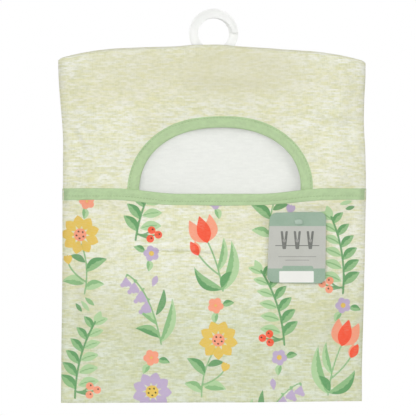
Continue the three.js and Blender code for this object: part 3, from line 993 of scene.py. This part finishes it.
def card_material(colours):
    """Green bands above and below a grey middle, with a tab, a bare panel and a drawing of pegs."""
    material, tree, shader = new_material("tag_card")
    place, x, z, facing = tag_plan(tree)
    front = calc(tree, "LESS_THAN", facing, -0.5)
    cut_edge = calc(tree, "LESS_THAN", calc(tree, "ABSOLUTE", facing), 0.5)
    bands = [spread(tree, z, -14.15, -13.85), spread(tree, z, -56.15, -56.45)]
    tab = printed_panel(tree, x, z, (0.5, -59.7), (15.4, 6), 1.8)
    colour = blend_colour(tree, united(tree, bands + [tab]), colours.card_grey, colours.card_green)
    bare = printed_panel(tree, x, z, (-0.8, -64.6), (17.2, 5.7), 0.8)
    rules = [printed_panel(tree, x, z, (0, up), (half, 0.35), 0.3) for up, half in ((-44.5, 19), (-48, 12))]
    pegs, coils = drawn_pegs(tree, x, z)
    for mask, ink in (
        (bare, colours.card_white),
        (pegs, colours.card_dark),
        (united(tree, rules + [coils]), colours.card_rule),
    ):
        colour = blend_colour(tree, calc(tree, "MULTIPLY", mask, front), colour, ink)
    colour = blend_colour(tree, cut_edge, colour, colours.card_white)
    fibre = noise(tree, place, 3.0, scale=800.0)
    mottle = noise(tree, place, scale=70.0)
    worn = weighted(tree, fibre, 0.5, mottle, 0.5)
    looks = {
        "Base Color": blend_colour(tree, spread(tree, worn, 0.35, 0.65, 0.0, 0.06), colour, (1, 1, 1, 1)),
        "Roughness": spread(tree, fibre, 0.3, 0.7, 0.55, 0.7),
        "Specular IOR Level": 0.3,
    }
    finish_surface(tree, shader, looks, fibre, 0.00002, 0.3)
    return material


# The pocket's print: sprigs in a half-drop repeat, each ink as a distance to its printed edge


class Stencil:
    """Distances in millimetres to the edge of each ink, negative where it is printed."""

    def __init__(self, x, z):
        self.x, self.z = x, z
        self.inks = {ink: np.full(x.shape, 9.0) for ink in INKS}
        self.place(0, 0)

    def place(self, x, z, turn=0.0, flip=1, size=1.0):
        """Moves the drawing's own axes to a sprig's root."""
        angle = math.radians(turn)
        dx, dz = (self.x - x) / size, (self.z - z) / size
        self.across = flip * (dx * math.cos(angle) + dz * math.sin(angle))
        self.up = -dx * math.sin(angle) + dz * math.cos(angle)

    def paint(self, ink, distance):
        self.inks[ink] = np.minimum(self.inks[ink], distance)

    def blade(self, ink, root, tip, width, fullest=0.45, bow=0.0, shade=None, vein=None):
        """A leaf or petal from root to tip, with one half in another ink and a vein if given."""
        ax, az = tip[0] - root[0], tip[1] - root[1]
        length = math.hypot(ax, az)
        dx, dz = self.across - root[0], self.up - root[1]
        along = (dx * ax + dz * az) / length**2
        part = np.clip(along, 0, 1)
        off = (dz * ax - dx * az) / length - bow * length * 4 * part * (1 - part)
        power = math.log(0.5) / math.log(fullest)
        half = width / 2 * np.sin(np.pi * part**power)
        distance = np.where(along == part, np.abs(off) - half, np.hypot((along - part) * length, off))
        self.paint(ink, distance)
        if shade:
            ragged = 0.35 * np.sin(along * length * 0.9) + 0.25 * np.sin(along * length * 2.1)
            self.paint(shade, np.maximum(distance, off + 0.3 + ragged))
        if vein:
            self.paint(vein, np.maximum(np.abs(off) - 0.75, np.abs(part - 0.45) * length - 0.36 * length))

    def stalk(self, ink, start, middle, end, thick):
        share = np.linspace(0, 1, 13)[:, None]
        start, middle, end = (np.array(point) for point in (start, middle, end))
        route = (1 - share) ** 2 * start + 2 * share * (1 - share) * middle + share**2 * end
        nearest = np.full(self.x.shape, 99.0)
        for (x0, z0), (x1, z1) in zip(route[:-1], route[1:]):
            ax, az = x1 - x0, z1 - z0
            part = np.clip(((self.across - x0) * ax + (self.up - z0) * az) / (ax * ax + az * az), 0, 1)
            nearest = np.minimum(nearest, np.hypot(self.across - x0 - part * ax, self.up - z0 - part * az))
        self.paint(ink, nearest - thick / 2)

    def dot(self, ink, x, z, radius):
        self.paint(ink, np.hypot(self.across - x, self.up - z) - radius)


def around(count, first=0.0):
    """Directions spread evenly round a flower."""
    angles = [2 * math.pi * number / count + first for number in range(count)]
    return [(math.cos(angle), math.sin(angle)) for angle in angles]


def draw_tulip(pen, petal, heart):
    pen.stalk("leaf", (0, -42), (-4, -10), (1, 16), 1.7)
    pen.stalk("leaf", (-1, -24), (10, -10), (14, 4), 1.8)
    pen.blade("leaf_pale", (-1, -41), (-24, 8), 13, 0.4, 0.12, "leaf")
    pen.blade("leaf", (0, -40), (22, -8), 11.5, 0.42, -0.16, "leaf_deep")
    pen.blade("leaf_pale", (-1, -20), (-17, 14), 8, 0.42, 0.1, "leaf")
    pen.blade("leaf_deep", (1, -38), (-15, -24), 8, 0.45, -0.1, "leaf")
    pen.blade(petal, (1, 13), (-10, 41), 14.5, 0.42, 0.1)
    pen.blade(petal, (1, 13), (12.5, 41), 14.5, 0.42, -0.1)
    pen.blade(heart, (1, 12), (1, 42), 14.5, 0.42)
    pen.blade(heart, (14, 2), (18, 19), 9, 0.45)
    pen.blade(petal, (14, 2), (14, 18), 6, 0.45, 0.1)


def draw_daisy(pen, petal, heart):
    pen.stalk("leaf", (5, -43), (-5, -18), (0, 10), 1.7)
    pen.stalk("leaf", (2, -30), (14, -20), (17, -9), 1.8)
    pen.blade("leaf_pale", (3, -32), (27, -26), 11, 0.45, 0.12, "leaf")
    pen.blade("leaf", (0, -20), (-25, -10), 11, 0.45, -0.12, "leaf_deep")
    pen.blade("leaf_pale", (4, -38), (-18, -36), 10, 0.45, -0.12, "leaf")
    pen.blade("leaf_deep", (-1, -10), (15, 0), 7, 0.45, 0.1)
    for cosine, sine in around(9, 0.2):
        pen.blade(petal, (4 * cosine, 20 + 4 * sine), (21 * cosine, 20 + 21 * sine), 10.4, 0.62)
    pen.dot(heart, 0, 20, 6.8)
    for cosine, sine in around(5):
        pen.dot("dark", 3.9 * cosine, 20 + 3.9 * sine, 1.15)
    for lean in (-0.5, 0, 0.5):
        pen.blade(petal, (17, -10), (17 + 7 * lean, 1), 5, 0.6)


def draw_bells(pen, bell):
    pen.stalk("leaf", (-8, -43), (-6, 18), (16, 36), 1.7)
    pen.blade("leaf_pale", (-8, -41), (-27, 4), 10.5, 0.42, 0.1, "leaf")
    pen.blade("leaf", (-8, -36), (17, -22), 10, 0.45, 0.14, "leaf_deep")
    pen.blade("leaf_pale", (-7, -22), (11, -4), 8, 0.45, 0.12, "leaf")
    pen.blade("leaf_deep", (-7, -12), (-20, 16), 7, 0.45, 0.1)
    for x, z, lean, size in ((-3.5, 6, 9, 10.6), (0.5, 18, 8, 10.6), (7, 28, 6, 9.8), (15, 35, 4, 8.6)):
        tip = (x + lean * 0.6 + 1.5, z - size - 3.5)
        pen.stalk("leaf", (x, z), (x + 2, z + 1), (x + 2.5, z - 2), 1.8)
        pen.blade(bell, (x + 2.5, z), tip, size, 0.66)
        for side in (-0.42, 0, 0.42):
            pen.dot(bell, tip[0] + side * size, tip[1] + 3.2 - abs(side) * 1.8, 2.4)
    pen.blade(bell, (-8, 18), (-15, 30), 6.4, 0.6)


def draw_laurel(pen, berry):
    pen.stalk("leaf_deep", (3, -43), (-7, 0), (4, 40), 2.1)
    for number in range(6):
        part = number / 5
        z = -34 + 66 * part
        x = 2.5 - 18 * part * (1 - part) + part
        reach = 21 - 8 * part
        width = 10.6 - 3 * part
        pen.blade("leaf", (x, z), (x - reach, z + 11), width, 0.5, -0.07, "leaf_deep")
        pen.blade("leaf_pale", (x, z + 4), (x + reach, z + 15), width, 0.5, 0.07, None, "leaf")
    pen.blade("leaf_pale", (4, 36), (7, 53), 8, 0.5)
    for x, z in ((17, -36), (23.5, -29), (15, -27)):
        pen.stalk("leaf_deep", (2, -36), (9, -37), (x, z), 1.8)
        pen.dot(berry, x, z, 4.1)
        pen.dot("dark", x + 0.8, z + 1, 1.1)


def draw_blossom(pen, petal, heart):
    for cosine, sine in around(5, 0.4):
        pen.dot(petal, 4.6 * cosine, 4.6 * sine, 3.5)
    pen.dot(heart, 0, 0, 2.6)
    pen.blade("leaf_pale", (4, -5), (15, -11), 6.6, 0.45, 0.1, "leaf")
    pen.blade("leaf", (-4, -5), (-14, -13), 6.6, 0.45, -0.1, "leaf_deep")


def draw_seeds(pen):
    pen.blade("leaf", (-7, -4), (-2, 8), 4.4, 0.5)
    pen.blade("leaf_pale", (0, -7), (3, 7), 4.4, 0.5)
    pen.blade("leaf_deep", (7, -4), (9, 7), 4.2, 0.5)


SPRIGS = [
    (draw_tulip, "coral", "red"),
    (draw_laurel, "red"),
    (draw_daisy, "yellow", "coral"),
    (draw_bells, "lilac"),
    (draw_laurel, "coral"),
    (draw_daisy, "lilac", "yellow"),
]
FILLERS = [(draw_blossom, "coral", "yellow"), (draw_seeds,), (draw_blossom, "lilac", "yellow")]


def print_inks(x, z):
    """Sprigs in turn down each column with a filler after each, every other column dropped by half."""
    pen = Stencil(x, z)
    for column in range(-3, 4):
        drop = REPEAT_Z / 2 if column % 2 else 0
        for row in range(-1, 3):
            turn = SPRIG_TURNS[(column + 3 * row) % 4]
            flip = 1 if (column + row) % 2 else -1
            top = REPEAT_TOP_Z + drop
            pen.place(column * REPEAT_X - 2, top - row * REPEAT_Z, turn, flip, SPRIG_SIZE)
            draw, *inks = SPRIGS[(5 * column + 2 * row) % len(SPRIGS)]
            draw(pen, *inks)
            pen.place(column * REPEAT_X + 2, top - (row + 0.5) * REPEAT_Z, 3 * turn, flip)
            draw, *inks = FILLERS[(column + row) % len(FILLERS)]
            draw(pen, *inks)
    return pen.inks


# The pieces


def settings(context):
    return context.scene.peg_bag_sizes, context.scene.peg_bag_colours


def shared_material(make, *values):
    """The finish made earlier under this maker's name, or a new one."""
    key = make.__name__ + "".join(str(value) for value in values[1:])
    known = next((m for m in bpy.data.materials if m.get("maker") == key), None)
    if known:
        return known
    material = make(*values)
    material["maker"] = key
    return material


def fine_sided(columns, half):
    """Even places from -1 to 1, with closer ones beside each side seam."""
    close = 1 - np.array(SEAM_STEPS) / half
    return np.sort(np.concatenate([np.linspace(-1, 1, columns), close, -close]))


def fine_ended(rows, length):
    """Even places from 0 to 1, with closer ones before the end."""
    close = 1 - np.array(SEAM_STEPS) / length
    return np.sort(np.concatenate([np.linspace(0, 1, rows), close]))


def panel_points(form, side, lowest):
    """Rows and columns of a panel from the top seam down to its lowest edge."""
    wall_top = form.roof_line(np.zeros(1))[0] - ROOF_ROLL
    wall_height = wall_top - lowest
    wall_parts = fine_ended(int(wall_height / PANEL_PITCH), wall_height)
    across = fine_sided(int(2 * form.body_half / PANEL_PITCH), form.body_half)
    slot_reach = SLOT_FRONT if side == FRONT else SLOT_BACK
    points, plan = [], []
    power = 2 / ROOF_SQUARENESS
    roof_height = ROOF_ROLL + CLOTH_ROOM
    for row in range(ROOF_ROWS + len(wall_parts)):
        edge_x = np.array([form.body_half])
        if row < ROOF_ROWS:
            edge_z = form.roof_line(edge_x) - roof_height * (row / ROOF_ROWS) ** 2
        else:
            part = wall_parts[row - ROOF_ROWS]
            edge_top = form.roof_line(edge_x) - roof_height
            edge_z = edge_top + part * (lowest - edge_top)
        x = across * form.half_width(edge_z)
        roof = form.roof_line(x)
        if row < ROOF_ROWS:
            slot = np.clip(1 - (np.abs(x) / SLOT_HALF) ** SLOT_SQUARENESS, 0, 1) ** (1 / SLOT_SQUARENESS)
            slot_share = slot * slot_reach / (form.depth(side, x, roof) + CLOTH_ROOM)
            first = np.arcsin(slot_share ** (1 / power))
            angle = first + (math.pi / 2 - first) * row / ROOF_ROWS
            share = np.sin(angle) ** power
            z = roof - roof_height * (1 - np.cos(angle) ** power)
            z = z - RIDGE_DIP * np.exp(-((share * RIDGE_SHARPNESS) ** 2)) * (1 - slot)
        else:
            top = roof - roof_height
            z = top + part * (lowest - top)
            share = np.ones_like(x)
        y = form.face_y(side, x, z, CLOTH_ROOM, share)
        hung = form.placed(x, y, z)
        points.append(hung)
        rolled = np.where(share < 1, (1 - share) * ROOF_DEPTH, 0)
        plan.append(np.stack([x, hung[:, 2] / MM + rolled], axis=-1))
    return np.array(points), np.array(plan)


def face_centres(obj):
    centres = np.zeros(len(obj.data.polygons) * 3, dtype=np.float32)
    obj.data.polygons.foreach_get("center", centres)
    return centres.reshape(-1, 3) / MM


def finish_panel(panel, context, node, printed=False):
    """Gives a panel its face, its plain reverse and its thickness."""
    sizes, colours = settings(context)
    panel.data.materials.append(shared_material(cloth_material, colours, printed))
    panel.data.materials.append(shared_material(reverse_material, colours))
    thicken(panel, sizes.cloth, 1)
    dress(panel, "bag", "printed_cloth", node)


class PEGBAG_OT_hangers(bpy.types.Operator):
    """Rounds the edges of the two hanger mouldings and of the tag's nylon pin"""

    bl_idname = "pegbag.hangers"
    bl_label = "Hangers and pin"

    def execute(self, context):
        sizes, colours = settings(context)
        plastic = shared_material(plastic_material, colours)
        nylon = shared_material(nylon_material, colours)
        for node, body, slot, finish, edge in (
            ("hanger_rear", "hanger_rear", "hanger_plastic", plastic, sizes.mould_edge),
            ("hanger_front", "hanger_front", "hanger_plastic", plastic, sizes.mould_edge),
            ("tag_pin", "bag", "clear_nylon", nylon, sizes.mould_edge / 3),
        ):
            piece = self.rounded(node, edge)
            piece.data.materials.clear()
            piece.data.materials.append(finish)
            dress(piece, body, slot, node)
        return {"FINISHED"}

    def rounded(self, node, edge):
        piece = bpy.data.objects.new(node + "_moulding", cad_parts[node].data.copy())
        bpy.context.scene.collection.objects.link(piece)
        with editing(piece):
            bpy.ops.mesh.select_all(action="SELECT")
            bpy.ops.mesh.remove_doubles(threshold=0.000002)
            bpy.ops.mesh.dissolve_limited(angle_limit=math.radians(1))
        bevel(piece, edge, 2, 35)
        smooth(piece, 32)
        return piece


class PEGBAG_OT_back_panel(bpy.types.Operator):
    """Hangs the back of the bag, with the slot for the hooks in its top seam"""

    bl_idname = "pegbag.back_panel"
    bl_label = "Back panel"

    def execute(self, context):
        form = BagForm(settings(context)[0])
        points, plan = panel_points(form, BACK, HEM_Z)
        plan[..., 0] = BACK_CUT_X - plan[..., 0]
        panel = shaped_grid("back_cloth", points, plan, (0, 1, 0))
        finish_panel(panel, context, "back_panel")
        return {"FINISHED"}


class PEGBAG_OT_front_upper_panel(bpy.types.Operator):
    """Hangs the upper front and cuts its arched mouth"""

    bl_idname = "pegbag.front_upper_panel"
    bl_label = "Front upper panel"

    def execute(self, context):
        form = BagForm(settings(context)[0])
        points, plan = panel_points(form, FRONT, YOKE_HEM_Z)
        panel = shaped_grid("front_upper_cloth", points, plan, (0, -1, 0))
        centres = face_centres(panel)
        delete_faces(panel, inside_mouth(form, centres[:, 0], centres[:, 2], RAW_EDGE))
        finish_panel(panel, context, "front_upper_panel")
        return {"FINISHED"}


class PEGBAG_OT_pocket_panel(bpy.types.Operator):
    """Hangs the printed pocket that holds the pegs"""

    bl_idname = "pegbag.pocket_panel"
    bl_label = "Pocket panel"

    def execute(self, context):
        form = BagForm(settings(context)[0])
        columns = int(2 * form.body_half / PRINT_PITCH)
        rows = int((POCKET_TOP_Z - HEM_Z) / PRINT_PITCH)
        across = fine_sided(columns, form.body_half)[None, :]
        down = fine_ended(rows, POCKET_TOP_Z - HEM_Z)[:, None]
        x = across * (form.body_half + 0.3) + 0 * down
        top = form.pocket_top(x) - 1
        z = top + down * (HEM_Z - top)
        y = form.face_y(FRONT, x, z, CLOTH_ROOM + form.pocket_step(x, z))
        hung = form.placed(x, y, z)
        plan = np.stack([x, hung[..., 2] / MM], axis=-1)
        panel = shaped_grid("pocket_cloth", hung, plan, (0, -1, 0))
        for ink, distance in print_inks(x, z).items():
            layer = panel.data.attributes.new("ink_" + ink, "FLOAT", "POINT")
            layer.data.foreach_set("value", distance.astype(np.float32).reshape(-1))
        finish_panel(panel, context, "pocket_panel", True)
        return {"FINISHED"}


def tape_section(width, sewn):
    """The folded tape's section: distance from the fold, and height over the cloth's inside."""
    edge = [(1.0, 0.95), (0.985, 1.45), (0.95, 1.62)]
    groove = [(sewn + 0.07, 1.5), (sewn, 1.36), (sewn - 0.07, 1.5), (sewn - 0.18, 1.72)]
    if sewn < MOUTH_SEWN:
        # A groove further in leaves a flat margin beside the edge
        edge.append((0.84, 1.68))
    front = edge + groove + [(0.36, 1.82), (0.26, 1.81), (0.17, 1.7)]
    fold_round = [(0.08, 1.42), (0.02, 0.95), (0.0, 0.4), (0.02, -0.15), (0.08, -0.6)]
    back = [(0.17, -0.82), (0.4, -0.9), (0.65, -0.85), (0.85, -0.7), (0.98, -0.75)]
    return [(share * width, height) for share, height in front + fold_round + back]


def swept_tape(name, form, route, outward, lift, length, sewn):
    """A strip of tape folded over an edge. route and outward are (n, 2) across and up."""
    section = tape_section(form.binding, sewn)
    steps = [math.dist(a, b) for a, b in zip(section[:-1], section[1:])]
    route_run = np.linspace(0, length, len(route))
    swell = 0.12 * np.sin(route_run / 4.6 + 1.1 * np.sin(route_run / 21))
    points, plan = [], []
    for (reach, height), run in zip(section, np.cumsum([0] + steps)):
        waver = 1 + 0.025 * np.sin(route_run / 13 + 1.7) * (reach / form.binding)
        x = route[:, 0] + outward[:, 0] * reach * waver
        z = route[:, 1] + outward[:, 1] * reach * waver
        puff = swell * math.sin(math.pi * min(1, reach / form.binding))
        y = form.face_y(FRONT, x, z, lift + height + puff * (1 if height > 0 else -0.3))
        points.append(form.placed(x, y, z))
        plan.append(np.stack([route_run, np.full_like(route_run, run)], axis=-1))
    return shaped_grid(name, np.array(points), np.array(plan), (0, -1, 0))


def mouth_route(form, count):
    """The mouth's fold from its left foot over the arch to its right foot."""
    angle = np.linspace(math.pi, 0, 4 * count)
    x, z = mouth_edge(form, angle, 0)
    foot = np.linspace(YOKE_HEM_Z + 1, MOUTH_BASE_Z, FOOT_POINTS)
    x = np.concatenate([np.full(FOOT_POINTS, x[0]), x[1:-1], np.full(FOOT_POINTS, x[-1])])
    z = np.concatenate([foot, z[1:-1], foot[::-1]])
    run = np.concatenate([[0], np.cumsum(np.hypot(np.diff(x), np.diff(z)))])
    even = np.linspace(0, run[-1], count)
    route = np.stack([np.interp(even, run, x), np.interp(even, run, z)], axis=-1)
    heading = np.gradient(route, axis=0)
    for _ in range(3):
        heading[1:-1] = (heading[:-2] + 2 * heading[1:-1] + heading[2:]) / 4
    heading /= np.linalg.norm(heading, axis=1, keepdims=True)
    return route, np.stack([-heading[:, 1], heading[:, 0]], axis=-1), run[-1]


def pocket_route(form, count):
    x = np.linspace(-form.body_half - 0.1, form.body_half + 0.1, count)
    route = np.stack([x, form.pocket_top(x)], axis=-1)
    return route, np.tile([0.0, -1.0], (count, 1)), 2 * form.body_half


def spaced_route(maker, form, pitch):
    """A bound edge in even steps, the way its tape lies at each step, and its length."""
    length = maker(form, ROUGH_POINTS)[2]
    return maker(form, int(length / pitch))


# Each bound edge: tape, stitches, node, route, how far it stands off the upper front, where it is sewn
BOUND_EDGES = [
    ("mouth_tape", "mouth_stitches", "mouth_binding", mouth_route, 0, MOUTH_SEWN),
    ("pocket_tape", "pocket_stitches", "pocket_binding", pocket_route, POCKET_STEP, POCKET_SEWN),
]


class PEGBAG_OT_bindings(bpy.types.Operator):
    """Folds the green tape over the mouth's edge and the pocket's top edge"""

    bl_idname = "pegbag.bindings"
    bl_label = "Bindings"

    def execute(self, context):
        sizes, colours = settings(context)
        form = BagForm(sizes)
        finish = shared_material(tape_material, colours)
        for name, _, node, maker, lift, sewn in BOUND_EDGES:
            route, outward, length = spaced_route(maker, form, TAPE_PITCH)
            tape = swept_tape(name, form, route, outward, lift, length, sewn)
            tape.data.materials.append(finish)
            thicken(tape, sizes.tape)
            dress(tape, "bag", "binding_tape", node)
        return {"FINISHED"}


class PEGBAG_OT_stitching(bpy.types.Operator):
    """Sews a row of stitches along the groove of each binding"""

    bl_idname = "pegbag.stitching"
    bl_label = "Stitching"

    def execute(self, context):
        sizes, colours = settings(context)
        form = BagForm(sizes)
        finish = shared_material(thread_material, colours)
        for _, name, _, maker, lift, sewn in BOUND_EDGES:
            route, outward, _ = spaced_route(maker, form, sizes.stitch_pitch / MM)
            x, z = (route + outward * (sewn * form.binding)).T
            y = form.face_y(FRONT, x, z, lift + STITCH_HEIGHT)
            row = self.sewn(name, form.placed(x, y, z), sizes)
            row.data.materials.append(finish)
            dress(row, "bag", "binding_tape")
        return {"FINISHED"}

    def sewn(self, name, places, sizes):
        clear_selection()
        bpy.ops.mesh.primitive_uv_sphere_add(segments=8, ring_count=6, radius=0.5)
        stitch = named(name)
        bpy.ops.object.shade_smooth()
        stretch = Matrix.Diagonal((sizes.stitch_length, sizes.thread, sizes.thread, 1))
        copies = []
        for start, end in zip(places[:-1], places[1:]):
            turn = Vector(end - start).to_track_quat("X", "Y").to_matrix().to_4x4()
            copy = stitch.copy()
            copy.data = stitch.data.copy()
            copy.data.transform(Matrix.Translation(Vector((start + end) / 2)) @ turn @ stretch)
            bpy.context.scene.collection.objects.link(copy)
            copies.append(copy)
        bpy.data.objects.remove(stitch)
        clear_selection()
        for copy in copies:
            copy.select_set(True)
        bpy.context.view_layer.objects.active = copies[0]
        bpy.ops.object.join()
        return named(name)


class PEGBAG_OT_swing_tag(bpy.types.Operator):
    """Cuts the card of the swing tag and bows it a little"""

    bl_idname = "pegbag.swing_tag"
    bl_label = "Swing tag"

    def execute(self, context):
        sizes, colours = settings(context)
        low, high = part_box("swing_tag")
        centre = [(start + end) / 2 for start, end in zip(low, high)]
        thickness = high[1] - low[1]
        clear_selection()
        lengths = (sizes.tag_width, thickness, sizes.tag_height)
        bpy.ops.mesh.primitive_cube_add(size=1, location=centre, scale=lengths)
        tag = named("tag_card")
        bpy.ops.object.transform_apply(location=True, rotation=True, scale=True)
        self.cut(tag, low, high, sizes.tag_corner)
        # The card hangs askew: its foot strays to the left, and its foot and sides bow forward
        for vertex in tag.data.vertices:
            across = (vertex.co.x - centre[0]) / (sizes.tag_width / 2)
            down = (high[2] - vertex.co.z) / sizes.tag_height
            left, right = max(0, -across), max(0, across)
            vertex.co.x -= (0.9 * left + 2.9 * left * down + 0.7 * right + 0.9 * right * down) * MM
            vertex.co.z += (TAG_LIFT - 0.8 * left + 1.8 * left * down - 0.3 * right * down) * MM
            vertex.co.y -= (0.9 * down * across * across + 0.7 * down * down) * MM
        self.punch(tag, centre[1], thickness)
        bevel(tag, 0.00012, 1, 50)
        smooth(tag, 40)
        tag.data.materials.append(shared_material(card_material, colours))
        dress(tag, "tag", "tag_card", "swing_tag")
        return {"FINISHED"}

    def cut(self, tag, low, high, corner):
        """Rounds the card's corners and cuts it in a grid, so that it can bow."""
        select_nothing(tag, "EDGE")
        for edge in tag.data.edges:
            start, end = (tag.data.vertices[i].co for i in edge.vertices)
            edge.select = abs(start.y - end.y) > 0.0001
        with editing(tag):
            bpy.ops.mesh.bevel(offset=corner, segments=8, affect="EDGES")
            for axis, normal in ((0, (1, 0, 0)), (2, (0, 0, 1))):
                for step in range(1, TAG_CUTS):
                    bpy.ops.mesh.select_all(action="SELECT")
                    place = low[axis] + (high[axis] - low[axis]) * step / TAG_CUTS
                    bpy.ops.mesh.bisect(plane_co=Vector(normal) * place, plane_no=normal)

    def punch(self, tag, middle_y, thickness):
        """The hole that the pin goes through."""
        clear_selection()
        bpy.ops.mesh.primitive_cylinder_add(
            vertices=20,
            radius=PIN_HOLE * MM,
            depth=6 * thickness,
            location=(TAG_X * MM, middle_y, PIN_Z * MM),
            rotation=(math.pi / 2, 0, 0),
        )
        cutter = bpy.context.active_object
        apply_modifier(tag, "BOOLEAN", operation="DIFFERENCE", object=cutter, solver="EXACT")
        bpy.data.objects.remove(cutter)


class PEGBAG_OT_stage(bpy.types.Operator):
    """Sets the camera, the soft lamps, the white surround and a pale floor"""

    bl_idname = "pegbag.stage"
    bl_label = "Stage"

    def execute(self, context):
        scene = context.scene
        scene.view_settings.view_transform = "Standard"
        lens = bpy.data.cameras.new("front_camera")
        lens.sensor_width = SENSOR_WIDTH
        lens.lens = SENSOR_WIDTH * (CAMERA_DISTANCE - CLOTH_PLANE) / SEEN_WIDTH
        camera = bpy.data.objects.new("front_camera", lens)
        camera.location = (CAMERA_X, -CAMERA_DISTANCE, CAMERA_Z)
        camera.rotation_euler = (math.pi / 2, 0, 0)
        scene.collection.objects.link(camera)
        scene.camera = camera
        for values in LAMPS:
            self.lamp(*values)
        self.surround(scene)
        clear_selection()
        bpy.ops.mesh.primitive_circle_add(
            vertices=96, radius=FLOOR_RADIUS, fill_type="NGON", location=(0, 0, FLOOR_Z)
        )
        floor = named("floor")
        bpy.ops.object.transform_apply(location=True)
        floor.data.materials.append(self.floor_material(settings(context)[1]))
        return {"FINISHED"}

    def floor_material(self, colours):
        """A pale floor that runs out into the white surround, so that no edge of it is seen."""
        material, tree, shader = new_material("pale_floor")
        place = own_place(tree)
        colour = uneven(tree, noise(tree, place, scale=6.0), colours.floor, 0.97)
        finish_surface(tree, shader, {"Base Color": colour, "Roughness": 0.9})
        flat = add(tree, "ShaderNodeVectorMath", {0: place, 1: (1, 1, 0)}, operation="MULTIPLY").outputs[0]
        seen = add(tree, "ShaderNodeLightPath").outputs["Is Camera Ray"]
        share = calc(tree, "MULTIPLY", spread(tree, length_of(tree, flat), 0.1, 0.4), seen)
        white = add(tree, "ShaderNodeEmission", {"Color": (1, 1, 1, 1), "Strength": 1.0})
        mixed = add(tree, "ShaderNodeMixShader", {0: share, 1: shader.outputs[0], 2: white.outputs[0]})
        tree.links.new(mixed.outputs[0], tree.nodes["Material Output"].inputs["Surface"])
        return material

    def lamp(self, name, place, size, power):
        light = bpy.data.lights.new(name, "AREA")
        light.shape = "DISK"
        light.size = size
        light.energy = power
        obj = bpy.data.objects.new(name, light)
        obj.location = place
        aim = Vector(LAMP_AIM) - Vector(place)
        obj.rotation_euler = aim.to_track_quat("-Z", "Y").to_euler()
        bpy.context.scene.collection.objects.link(obj)

    def surround(self, scene):
        """White where it is seen or mirrored, and a weaker light of its own."""
        world = bpy.data.worlds.new("white_surround")
        scene.world = world
        world.use_nodes = True
        tree = world.node_tree
        tree.nodes.clear()
        path = add(tree, "ShaderNodeLightPath").outputs
        shown = united(tree, [path[f"Is {kind} Ray"] for kind in ("Camera", "Glossy", "Transmission")])
        lights, seen = (
            add(tree, "ShaderNodeBackground", {"Color": (1, 1, 1, 1), "Strength": strength}).outputs[0]
            for strength in (SURROUND_LIGHT, 1.0)
        )
        mixed = add(tree, "ShaderNodeMixShader", {0: shown, 1: lights, 2: seen})
        add(tree, "ShaderNodeOutputWorld", {"Surface": mixed.outputs[0]})


class PEGBAG_PT_panel(bpy.types.Panel):
    """Lists the bag's pieces, sizes and colours"""

    bl_idname = "PEGBAG_PT_panel"
    bl_label = "Peg bag"
    bl_space_type = "VIEW_3D"
    bl_region_type = "UI"
    bl_category = "Peg bag"

    def draw(self, context):
        for operator in OPERATORS:
            self.layout.operator(operator.bl_idname)
        for group in settings(context):
            for name in group.__annotations__:
                self.layout.prop(group, name)


OPERATORS = [
    PEGBAG_OT_stage,
    PEGBAG_OT_hangers,
    PEGBAG_OT_back_panel,
    PEGBAG_OT_front_upper_panel,
    PEGBAG_OT_pocket_panel,
    PEGBAG_OT_bindings,
    PEGBAG_OT_stitching,
    PEGBAG_OT_swing_tag,
]
CLASSES = [PegBagSizes, PegBagColours, *OPERATORS, PEGBAG_PT_panel]


def register():
    for item in CLASSES:
        bpy.utils.register_class(item)
    bpy.types.Scene.peg_bag_sizes = bpy.props.PointerProperty(type=PegBagSizes)
    bpy.types.Scene.peg_bag_colours = bpy.props.PointerProperty(type=PegBagColours)


def unregister():
    del bpy.types.Scene.peg_bag_colours
    del bpy.types.Scene.peg_bag_sizes
    for item in reversed(CLASSES):
        bpy.utils.unregister_class(item)


def main():
    register()
    bpy.ops.pegbag.stage()
    bpy.ops.pegbag.hangers()
    bpy.ops.pegbag.back_panel()
    bpy.ops.pegbag.front_upper_panel()
    bpy.ops.pegbag.pocket_panel()
    bpy.ops.pegbag.bindings()
    bpy.ops.pegbag.stitching()
    bpy.ops.pegbag.swing_tag()


if __name__ == "__main__":
    main()
